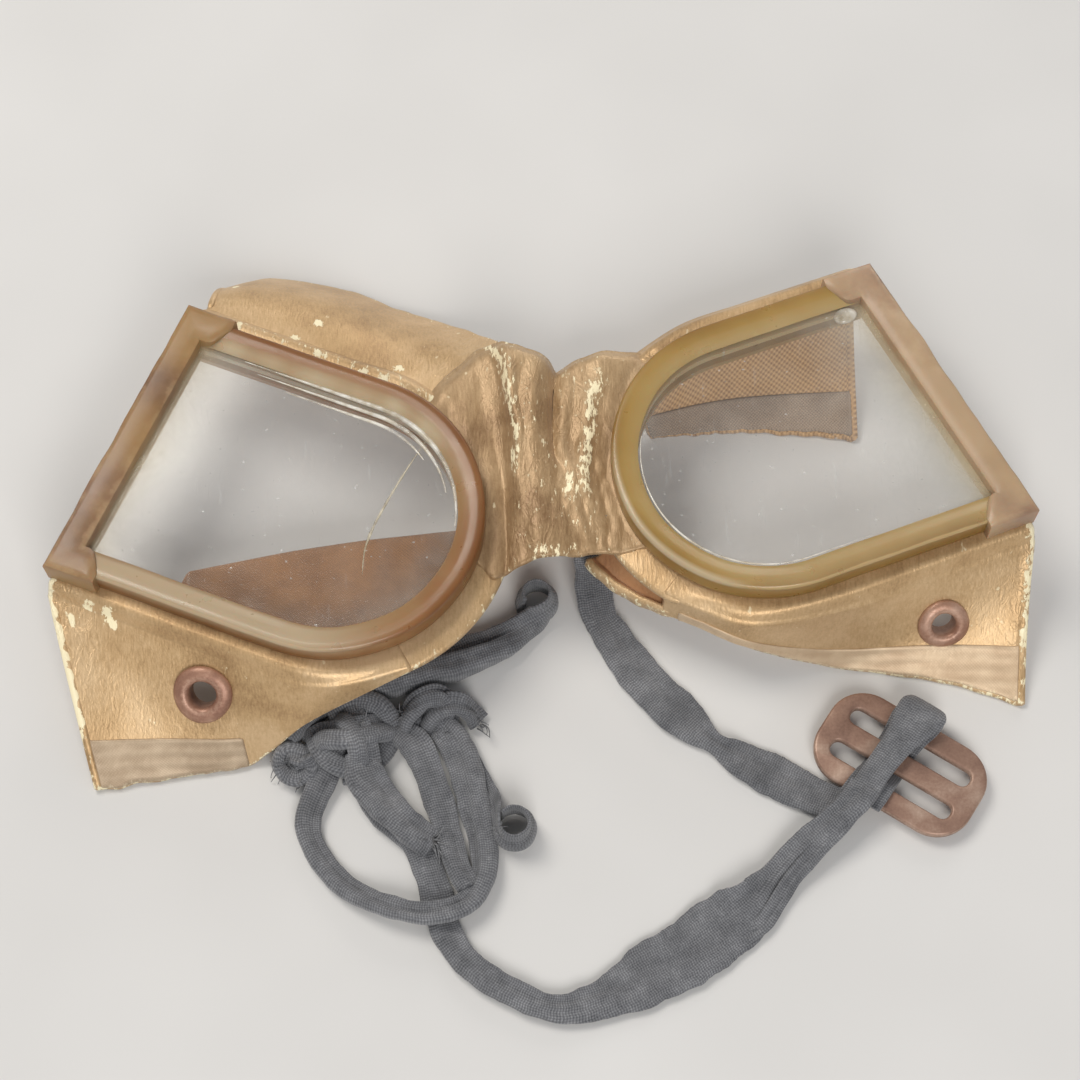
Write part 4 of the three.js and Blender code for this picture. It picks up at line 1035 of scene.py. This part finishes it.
def lens_outline(half, grow, inset):
    r = RIM + grow
    points = [(half.temple(y, inset), y) for y in np.linspace(-r, r, 40)]
    points += [(x, r) for x in np.linspace(half.temple(r, inset), 0, 24)[1:-1]]
    points += [(r * math.cos(a), r * math.sin(a)) for a in np.radians(np.linspace(90, 270, 90))]
    points += [(x, -r) for x in np.linspace(0, half.temple(-r, inset), 24)[1:-1]]
    return points


LENS_SHARES = [1, 0.985, 0.94, 0.88, 0.8, 0.7, 0.58, 0.45, 0.3, 0.15]


def lens_piece(half):
    """A thin sheet in rings from its edge to its middle, hazy along the edge and the bar"""
    outline = np.array(lens_outline(half, -2.4, BAR_WALL + 0.6))
    centre = np.array([half.middle / 2 - 8, 0])
    count = len(outline)
    points, haze, faces = [], [], []
    for level in (LENS_HALF, -LENS_HALF):
        for share in LENS_SHARES:
            for x, y in centre + (outline - centre) * share:
                bow = 0.1 * wave(x, y, 0, 0.05, 4 + half.side)
                near = half.temple(y, BAR_WIDTH) - x
                points.append(half.place(x, y, level + bow))
                haze.append(min(math.exp(-max(near, 0) / 5.0) + 0.6 * math.exp(-(1 - share) * 16), 1))
        points.append(half.place(*centre, level))
        haze.append(0)
    block = len(LENS_SHARES) * count + 1
    pairs = [(j, (j + 1) % count) for j in range(count)]
    for start in (0, block):
        last = start + (len(LENS_SHARES) - 1) * count
        for a in range(start, last, count):
            faces += [(a + j, a + k, a + count + k, a + count + j) for j, k in pairs]
        faces += [(last + j, last + k, start + block - 1) for j, k in pairs]
    faces += [(j, k, block + k, block + j) for j, k in pairs]
    piece = make(half.name + "_lens_sheet", points, faces, [CLEAR], marks={"haze": haze}, sharp=40)
    settle(piece, half.body, half.name + "_lens")


def bead_piece(half, name, grow, height, start, stop, thick):
    """A pale line of lens edge seen inside the rim"""
    line = [(x, y) for x, y in lens_outline(half, grow, BAR_WIDTH - 0.4)
            if start <= math.degrees(math.atan2(y, x)) % 360 <= stop]
    rings = []
    for n, (x, y) in enumerate(line):
        nx, ny = Vector((x, y)).normalized()
        fade = thick * (0.25 + 0.75 * math.sin(math.pi * (n + 0.5) / len(line)))
        rings.append([half.place(x + nx * fade * math.cos(a), y + ny * fade * math.cos(a),
                                 height + 0.7 * fade * math.sin(a)) for a in circle(8)])
    settle(tube(name, rings, BEAD), half.body)


SCRATCH_LINE = [(-9.8, 19.1, 0), (-8.5, 11.2, 0), (-7.7, 4.3, 0), (-7.4, -0.7, 0), (-7.7, -4.5, 0),
                (-9, -8.8, 0)]
SCRATCH_STEPS = 60
BLISTER = (23.6, 19.3)
BLISTER_SIZE = (2.2, 1.5)


def scratch_piece():
    """The long curved scratch that crosses the left lens"""
    rings = []
    for n, (x, y, _) in enumerate(spline(SCRATCH_LINE, SCRATCH_STEPS)):
        width = 0.19 * (0.3 + math.sin(math.pi * n / SCRATCH_STEPS)) * (1 + 0.5 * wave(x, y, 0, 0.9, 2))
        rings.append([LEFT.place(x + width * math.cos(a), y, 0.64 + 0.05 * math.sin(a)) for a in circle(8)])
    settle(tube("left_lens_scratch", rings, SCRATCH), "left_half")


def blister_piece():
    """The small blister in the right lens, by the upper corner of its temple side"""
    (x, y), (wide, tall) = BLISTER, BLISTER_SIZE
    rings = []
    for share in (1, 0.9, 0.7, 0.45, 0.2):
        rise = 0.6 + 0.7 * math.sqrt(1 - share ** 2)
        rings.append([RIGHT.place(x + wide * share * math.cos(a), y + tall * share * math.sin(a), rise)
                      for a in circle(32)])
    settle(tube("right_lens_blister", rings, BEAD), "right_half")


for one, amber, tan in ((LEFT, AMBER_LEFT, LEFT_BAR_PAINTED_SHADE), (RIGHT, AMBER_RIGHT, RIGHT_BAR_PAINTED_LIGHT)):
    rim_piece(one, amber)
    bar_piece(one, tan)
    lens_piece(one)
bead_piece(LEFT, "left_lens_edge_line", -4.9, 0.95, 38, 168, 0.5)
bead_piece(LEFT, "left_lens_second_line", -6.3, 0.75, 40, 150, 0.4)
bead_piece(LEFT, "left_lens_third_line", -7.7, 0.7, 46, 128, 0.32)
bead_piece(RIGHT, "right_lens_edge_line", -5.0, 0.85, 150, 300, 0.2)
scratch_piece()
blister_piece()


# Leather skirts
def along(points, share):
    """A smooth curve through a few rows of numbers, by share of its length"""
    p = np.array(points, float)
    step = share * (len(p) - 1)
    i = min(int(step), len(p) - 2)
    t = step - i
    before, after = p[max(i - 1, 0)], p[min(i + 2, len(p) - 1)]
    m0, m1 = (p[i + 1] - before) / 2, (after - p[i]) / 2
    return ((2 * t ** 3 - 3 * t ** 2 + 1) * p[i] + (t ** 3 - 2 * t ** 2 + t) * m0
            + (3 * t ** 2 - 2 * t ** 3) * p[i + 1] + (t ** 3 - t ** 2) * m1)


def crease(y, *places):
    return [(x, y, CREASE) for x in places]


# Each row is a half, the height of the crease, its line, the free edge, and the bow at temple and nose
SKIRTS = {
    "left_upper": (
        LEFT, TOP_CREASE, crease(TOP_CREASE, 37, 31, 20, 9, -2) + [(-14, 27.4, -5.1)],
        [(39.6, 41.5, FOOT), (34, 46.6, FOOT), (20, 49.2, -19), (8.8, 48.4, -18), (-1.5, 47.3, -15),
         (-12.6, 42.8, -5.6)], (3.2, 1.5)),
    "left_lower": (
        LEFT, LOW_CREASE, crease(LOW_CREASE, 39.5, 25, 8) + [(-9, -27.6, -4.5), (-21.4, -19.6, -3.75)],
        [(22, -53.2, FOOT), (11, -46.6, FOOT), (0, -40, FOOT), (-8.5, -31.5, -11), (-21.7, -19.9, -4.2)],
        (1.2, 0)),
    "right_upper": (
        RIGHT, TOP_CREASE, crease(TOP_CREASE, 30, 10) + [(-2, 30.3, CREASE), (-13, 27.2, CREASE)],
        [(22, 5.3, FOOT), (7, 12.5, FOOT), (-2, 15.6, FOOT), (-12.1, 18.5, FOOT)], (-0.8, -0.8)),
    "right_lower": (
        RIGHT, LOW_CREASE,
        crease(LOW_CREASE, 38, 20, 4) + [(-11.5, -26.6, -4.5), (-18.8, -21.4, -3.9), (-23.6, -16.4, -3.7)],
        [(28.6, -50.8, FOOT), (16.2, -41.3, FOOT), (0.9, -33.3, -18.5), (-12.8, -27.8, -10.5),
         (-19.3, -22, -9.2), (-24.2, -17.4, -9.4)], (-2.2, 0)),
}
HOLES = {"left_lower": (0.42, 0.38), "right_lower": (0.18, 0.4)}
ROOT_LEVEL = -2.85
# How far the root goes down at the nose, and the shares of the width between which it does
END_DROP = {"left_upper": (1.7, 0.76, 0.96), "left_lower": (0.72, 0.7, 0.93),
            "right_upper": (1.2, 0.86, 0.97), "right_lower": (0.72, 0.7, 0.93)}


def skirt_point(key, u, t, ripple=True):
    """A place on a skirt: t is 0 at the crease, 1 at the free edge and below 0 on the mask"""
    half, crease_y, line, edge, bow = SKIRTS[key]
    a, b = along(line, u), along(edge, u)
    if t < 0:
        inside = RIM - ROOT_INSIDE
        drop, start, stop = END_DROP[key]
        level = ROOT_LEVEL - drop * smooth_step(start, stop, u)
        tuck = (a[0], math.copysign(inside, crease_y)) if a[0] > 0 else a[:2] * inside / math.hypot(*a[:2])
        return half.place(*(a[:2] + (tuck - a[:2]) * -t), a[2] + (level - a[2]) * smooth_step(0, 0.3, -t))
    b[2] = max(b[2], FOOT)
    q = a + (b - a) * t * (1 + 0.022 * wave(60 * u, 0, 0, 0.28, len(key)) * smooth_step(0.7, 1.0, t))
    q[2] += (bow[0] + (bow[1] - bow[0]) * smooth_step(0.45, 0.75, u)) * math.sin(math.pi * t)
    if ripple:
        q[2] += 0.45 * bell(u, 0.012, 0.011) * smooth_step(0.02, 0.12, t)
        q[2] += 0.4 * wave(q[0], q[1], 0, 0.1, len(key)) * math.sin(math.pi * min(t * 1.2, 1)) ** 2
    return half.place(*q)


def edge_wear(u, t):
    return max(0.5 * smooth_step(0.96, 1.0, t), 0.45 * smooth_step(0.03, 0.0, u))


def spots(u, t, *places):
    """Rubbed spots at the given shares of a skirt's width and depth"""
    tall = 0.14 if t < 0 else 0.05
    return max(bell(u, a, 0.02) * bell(t, b, tall) for a, b in places)


def chips(u, t):
    """Leather chipped away along the temple edge, most near the bar"""
    width = 0.026 + 0.024 * wave(40 * t, 0, 0, 0.5, 2)
    return smooth_step(width, 0.4 * width, u) * smooth_step(0.95, 0.5, t)


WEAR = {
    "left_upper": lambda u, t: max(
        0.85 * spots(u, t, (0.22, -0.35), (0.39, 0.0), (0.43, 0.25), (0.49, -0.35), (0.65, -0.42),
                     (0.72, -0.42), (0.74, 0.06), (0.88, -0.3), (0.94, -0.3), (0.12, 0.55)),
        0.34 * bell(t, -0.3, 0.35) * smooth_step(0.05, 0.2, u),
        0.3 * smooth_step(0.9, 0.98, t) * smooth_step(0.1, 0.3, u)),
    "left_lower": lambda u, t: max(
        edge_wear(u, t), 0.95 * chips(u, t), 0.22 * bell(t, 0.03, 0.16),
        0.85 * spots(u, t, (0.14, -0.1), (0.19, -0.15), (0.2, 0.03), (0.08, 0.1))),
    "right_upper": edge_wear,
    "right_lower": lambda u, t: max(edge_wear(u, t), 0.6 * chips(u, t), 0.3 * bell(t, 0.98, 0.1)),
}
CRINKLE = {
    "left_upper": lambda u, t: 0.1 + 0.2 * smooth_step(0.7, 0.95, u),
    "left_lower": lambda u, t: 0.06 + 0.75 * smooth_step(0.2, 0.02, u) * smooth_step(0.5, 0.1, t),
    "right_upper": lambda u, t: 0.1,
    "right_lower": lambda u, t: 0.08 + 0.3 * smooth_step(0.06, 0.01, u),
}
BEND_REACH = 1.6


def skirt_piece(key, outer, inner):
    """A skirt's leather; the one folded under runs back beneath the lens from its crease, the others run
    outwards
    """
    half, crease_y = SKIRTS[key][:2]
    rows = list(np.linspace(-1, -0.05, 16)) + list(np.linspace(0, 1, 40))
    across = list(np.linspace(0, 0.06, 14)) + list(np.linspace(0.06, 1, 92))[1:]
    grid = [[skirt_point(key, u, t) for u in across] for t in rows]
    hole = skirt_point(key, *HOLES[key], False) if key in HOLES else None
    piece = sheet(key + "_leather", grid, SKIRT_THICKNESS, outer, inner,
                  lambda i, j: WEAR[key](across[j], rows[i]), lambda i, j: CRINKLE[key](across[j], rows[i]),
                  hole=hole)
    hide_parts(key + "_skirt")
    reach = math.copysign(BEND_REACH, crease_y)
    ends = [(crease_y - reach, CREASE), (crease_y + reach, CREASE)]
    if key == "right_upper":
        ends = [(crease_y, CREASE + 1.2), (crease_y, CREASE - BEND_REACH)]
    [Vector(half.place(0, y, z)) for y, z in ends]
    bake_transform(piece)
    return piece, grid


def normal_at(key, u, t):
    gap = 0.01
    a = skirt_point(key, min(u + gap, 1), t) - skirt_point(key, max(u - gap, 0), t)
    b = skirt_point(key, u, min(t + gap, 1)) - skirt_point(key, u, max(t - gap, 0))
    n = a.cross(b).normalized()
    return n if n.z > 0 else -n


HEM_ROWS = 12
HEM_COLUMNS = 72


def hem_piece(key, across, down, face, material, lift, thick):
    """A band along a skirt's free edge, on its outer or its inner face"""
    grid = []
    for t in np.linspace(*down, HEM_ROWS):
        row = []
        for u in np.linspace(*across, HEM_COLUMNS):
            swell = lift + 0.1 * wave(60 * u, 20 * t, 0, 0.3, len(key))
            row.append(skirt_point(key, u, t) + normal_at(key, u, t) * (face * swell * MM))
        grid.append(row)
    piece = sheet(key + "_hem_band", grid, thick, material, material,
                  lambda i, j: 0.35 * smooth_step(0.8, 1, i / (HEM_ROWS - 1)))
    return settle(piece, key + "_flap", key + "_hem")


# Each row is a radius and a height over the leather's middle
EYELET_PROFILE = [(2.3, -2.0), (2.3, 0.9), (2.36, 1.35), (2.58, 1.7), (3.0, 1.92), (3.6, 1.94), (4.3, 1.76),
                  (4.78, 1.42), (5.0, 1.05), (4.95, 0.78), (4.6, 0.72), (2.8, 0.72), (2.75, -2.0)]
EYELET_RUBBED = {3: 0.5, 4: 0.7, 5: 0.55}
# The photograph shows the right eyelet smaller than the left
EYELET_SIZES = {"left": 1, "right": 0.88}


def eyelet_piece(key, name, size):
    """A rolled eyelet: domed flange, rounded lip and a barrel through the leather"""
    u, t = HOLES[key]
    middle = skirt_point(key, u, t, False)
    z = normal_at(key, u, t)
    x = skirt_point(key, u + 0.02, t, False) - middle
    x = (x - z * x.dot(z)).normalized()
    y = z.cross(x)
    rings, wear = [], []
    for a in circle(64):
        wobble = size * (1 + 0.018 * math.sin(3 * a + u))
        way = (x * math.cos(a) + y * math.sin(a)) * wobble
        rings.append([middle + (way * r + z * h) * MM for r, h in EYELET_PROFILE])
        wear += [EYELET_RUBBED.get(n, 0.1) for n in range(len(EYELET_PROFILE))]
    piece = tube(name + "_eyelet_ring", rings, EYELET, closed=True, wear=wear)
    return settle(piece, key + "_flap", name + "_eyelet")


FACES = {"left_upper": (HIDE, LINING), "left_lower": (HIDE, LINING), "right_upper": (LINING, HIDE),
         "right_lower": (HIDE, LINING)}
skirts = {key: skirt_piece(key, outer, inner) for key, (outer, inner) in FACES.items()}
extras = {
    "left_upper": [hem_piece("left_upper", (0.06, 0.94), (0.66, 0.88), -1, HEM_TAPE, 0.86, 0.7)],
    "left_lower": [hem_piece("left_lower", (0.024, 0.5), (0.76, 0.997), 1, LEFT_BAND, 0.5, 0.4)],
    "right_upper": [hem_piece("right_upper", (0.02, 0.98), (0.72, 0.97), 1, HEM_TAPE, 0.7, 0.6)],
    "right_lower": [hem_piece("right_lower", (0.02, 0.9), (0.62, 0.985), 1, RIGHT_BAND, 0.5, 0.34)],
}
for name, size in EYELET_SIZES.items():
    extras[name + "_lower"].append(eyelet_piece(name + "_lower", name, size))


# Masks, nose and lining
MASK_HIDDEN = 0.9
MASK_INSIDE = 3.2
MASK_ROWS = 14
MASK_BARE_END = {"left": (224, 238), "right": (217, 230)}


def mask_piece(half):
    """The leather strip behind the rim, open at the temple; under the skirts only its root shows"""
    stations = [(x, RIM, 0, 1, MASK_HIDDEN) for x in np.linspace(half.temple(RIM, 1), 0, 24)]
    for a in np.radians(np.linspace(90, 270, 80))[1:-1]:
        turn = math.degrees(a)
        margin = TOP_MARGIN + (LOW_MARGIN - TOP_MARGIN) * (turn - 90) / 180
        bare = window(turn, 104, 122, *MASK_BARE_END[half.name])
        c, s = math.cos(a), math.sin(a)
        stations.append((RIM * c, RIM * s, c, s, MASK_HIDDEN + (margin - MASK_HIDDEN) * bare))
    stations += [(x, -RIM, 0, -1, MASK_HIDDEN) for x in np.linspace(0, half.temple(-RIM, 1), 24)]
    grid = []
    for share in np.linspace(0, 1, MASK_ROWS):
        row = []
        for x, y, nx, ny, margin in stations:
            a = -MASK_INSIDE + (margin + MASK_INSIDE) * share
            droop = -0.5 * share ** 4 + 0.12 * wave(x, y, 2 * share, 0.15, half.side) * share
            row.append(half.place(x + nx * a, y + ny * a, MASK_MID + droop))
        grid.append(row)
    piece = sheet(half.name + "_mask_leather", grid, MASK_THICKNESS, HIDE, BACKING,
                  lambda i, j: 0.3 * smooth_step(0.8, 1.0, i / (MASK_ROWS - 1)))
    return settle(piece, half.body, half.name + "_mask")


# The lip's outer edge as radius and height along the nose, and its section as shares of both
LIP_EDGE = [(29, -8.6), (29.8, -9), (30.8, -9.4), (32, -9.4), (33, -9)]
LIP_SHAPE = [(0, 0), (0.3, 0.45), (0.6, 0.95), (0.82, 1.05), (0.96, 0.85), (1.06, 0.9), (1.08, 1.15),
             (1.0, 1.4)]
LIP_ROOT = (26.6, -5)
LIP_ROWS, LIP_COLUMNS = 24, 60


def lip_piece():
    """The rolled leather edge under the right half at the nose, open enough to show its brown inside"""
    grid = []
    for i in range(LIP_ROWS + 1):
        row = []
        for j in range(LIP_COLUMNS + 1):
            u = j / LIP_COLUMNS
            a = math.radians(222 - 34 * u)
            out, low = along(LIP_EDGE, u)
            f, g = along(LIP_SHAPE, i / LIP_ROWS)
            r = LIP_ROOT[0] + (out - LIP_ROOT[0]) * f + 0.2 * wave(20 * u, 8 * i / LIP_ROWS, 0, 0.4, 3)
            row.append(RIGHT.place(r * math.cos(a), r * math.sin(a), LIP_ROOT[1] + (low - LIP_ROOT[1]) * g))
        grid.append(row)
    piece = sheet("right_nose_lip_leather", grid, NOSE_THICKNESS, HIDE, BACKING,
                  lambda i, j: 0.4 * smooth_step(0.55, 0.7, i / LIP_ROWS), None,
                  lambda i, j: int(i < 0.56 * LIP_ROWS))
    return settle(piece, "right_half", "right_nose_lip")


def nose_drift(r):
    """How the creases of the bridge wander from bottom to top"""
    return 0.02 * math.sin(7 * r) + 0.012 * math.sin(19 * r + 1)


def nose_height(s, r):
    """Height of the bridge over the mask: s goes from the left rim to the right, r from bottom to top"""
    drift = nose_drift(r)
    high = smooth_step(0.3, 0.8, r)
    arch = 1.3 * math.sin(math.pi * s)
    pleat = 3.0 * high * window(s + 0.02 * math.sin(5 * r), 0.24, 0.31, 0.45, 0.6)
    hump = 2.0 * (1 - high) * bell(s, 0.42, 0.16)
    valley = -1.5 * bell(s, 0.6, 0.04) * smooth_step(0.35, 0.9, r)
    first = 0.7 * bell(s + drift, 0.3, 0.03) * smooth_step(0.1, 0.4, r)
    second = 1.0 * bell(s + drift, 0.8, 0.05) * smooth_step(0.1, 0.35, r)
    third = 0.7 * bell(s - drift, 0.68, 0.035) * smooth_step(0.95, 0.6, r)
    dip = -0.9 * bell(s, 0.19, 0.05)
    sag = -0.9 * bell(r, 0, 0.1) * math.sin(math.pi * s)
    return arch + pleat + hump + valley + first + second + third + dip + sag


def nose_wear(s, r):
    drift = nose_drift(r)
    streak = 0.56 * bell(s + drift, 0.29, 0.035) * smooth_step(0.25, 0.45, r)
    crown = 0.46 * bell(s, 0.36, 0.05) * smooth_step(0.9, 0.98, r)
    pale = 0.54 * bell(s + drift, 0.81, 0.055) * window(r, 0.15, 0.3, 0.8, 0.95)
    patch = 0.5 * bell(s, 0.68, 0.09) * bell(r, 0.32, 0.16)
    foot = bell(r, 0, 0.09) * (0.26 + 0.2 * bell(s, 0.45, 0.15))
    speckle = 0.24 * window(s, 0.1, 0.3, 0.8, 1.0)
    return max(streak, crown, pale, patch, foot, speckle)


# The bridge's upper and lower edges in the drawing, each with its points' shares of the way across
NOSE_TOP = [(-20.2, 21.5), (-16.8, 27.8), (-10.4, 35.2), (-6.8, 35.2), (-4.4, 34.2), (-1.8, 33.4),
            (0.9, 32.4), (2.1, 31.0), (5.6, 33.2), (10.4, 35.2), (16, 35.6), (18.6, 30.6)]
NOSE_TOP_AT = [0, 0.1, 0.22, 0.3, 0.38, 0.46, 0.54, 0.6, 0.68, 0.8, 0.92, 1]
NOSE_LOW = [(-8.6, -4.2), (-5.6, -8.6), (-3, -7.2), (0, -6.2), (4, -5.8), (8.4, -5.4), (11.5, -5.6),
            (16.2, -4.6)]
NOSE_LOW_AT = [0, 0.1, 0.24, 0.36, 0.54, 0.74, 0.88, 1]
NOSE_ROWS, NOSE_COLUMNS = 72, 96
NOSE_LEVEL = LENS_HEIGHT - 2.86
NOSE_INSIDE = 1.6


def nose_piece(strips):
    """The pleated bridge: a sheet between four edges, raised by its folds"""
    shares = np.linspace(0, 1, NOSE_COLUMNS + 1)

    def edge(points, places):
        line = np.stack([np.interp(shares, places, values) for values in zip(*points)], axis=1)
        for _ in range(3):
            line[1:-1] = (line[:-2] + 2 * line[1:-1] + line[2:]) / 4
        return line

    def rim_edge(half, angle):
        r, a = RIM - NOSE_INSIDE, math.radians(angle)
        return np.array(half.flat(r * math.cos(a), r * math.sin(a)))

    top, low = edge(NOSE_TOP, NOSE_TOP_AT), edge(NOSE_LOW, NOSE_LOW_AT)
    grid = []
    for i in range(NOSE_ROWS + 1):
        r = i / NOSE_ROWS
        left, right = rim_edge(LEFT, 174 - 72 * r), rim_edge(RIGHT, 199 - 84 * r)
        row = []
        for j, s in enumerate(shares):
            q = (1 - r) * low[j] + r * top[j] + (1 - s) * left + s * right
            q -= (1 - r) * ((1 - s) * low[0] + s * low[-1]) + r * ((1 - s) * top[0] + s * top[-1])
            x, y = q
            body = window(s, 0.0, 0.1, 0.9, 1.0)
            crumple = smooth_step(0.45, 0.6, s) * smooth_step(0.75, 0.4, r)
            fold = 0.42 * wave(1.2 * x, 0.3 * y, 0, 0.3, 2)
            fold += (0.14 + 0.3 * crumple) * wave(x, 0.4 * y, 5, 0.75, 4)
            drop = 1.4 * (1 - 0.5 * body) + 1.6 * smooth_step(0.9, 1.0, r) ** 2
            row.append(at(x, y, NOSE_LEVEL + (nose_height(s, r) + fold - drop) * body))
        grid.append(row)
    piece = sheet("nose_bridge_leather", grid, NOSE_THICKNESS, NOSE_HIDE_PAINTED_SHADE, BACKING,
                  lambda i, j: nose_wear(j / NOSE_COLUMNS, i / NOSE_ROWS),
                  lambda i, j: 0.08 + 0.2 * window(j / NOSE_COLUMNS, 0.1, 0.3, 0.8, 0.95))
    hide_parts("nose_bridge")
    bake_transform(piece)


LINING_ROWS, LINING_COLUMNS = 22, 50
LINING_RADIUS = 22.5
LINING_LEVEL = -6.6


def lining_piece():
    """The brown flap behind the left lens"""
    grid = []
    for t in np.linspace(0, 1, LINING_ROWS):
        row = []
        for u in np.linspace(0, 1, LINING_COLUMNS):
            x = 20 - 41.1 * u
            top = -16.3 + 24 * u + 0.8 * math.sin(math.pi * u)
            low = -math.sqrt(LINING_RADIUS ** 2 - min(x, 0) ** 2)
            y = top + (low - top) * t
            z = LINING_LEVEL + 0.3 * wave(x, y, 0, 0.1, 8) + 0.5 * math.sin(math.pi * u) * (1 - t)
            row.append(LEFT.place(x, y, z))
        grid.append(row)
    piece = sheet("left_lining_leather", grid, LINING_THICKNESS, FLAP_CLOTH, LINING)
    settle(piece, "left_half", "left_lining_flap")


nose_piece([mask_piece(LEFT), mask_piece(RIGHT), lip_piece()])
lining_piece()

# CAD nodes that stay as they are, with their own finishes
for name, material in (("left_back_rim", BACK_LEFT), ("right_back_rim", BACK_RIGHT),
                       ("left_eyelet_washer", WASHER), ("right_eyelet_washer", WASHER)):
    nodes[name].data.materials.clear()
    nodes[name].data.materials.append(material)
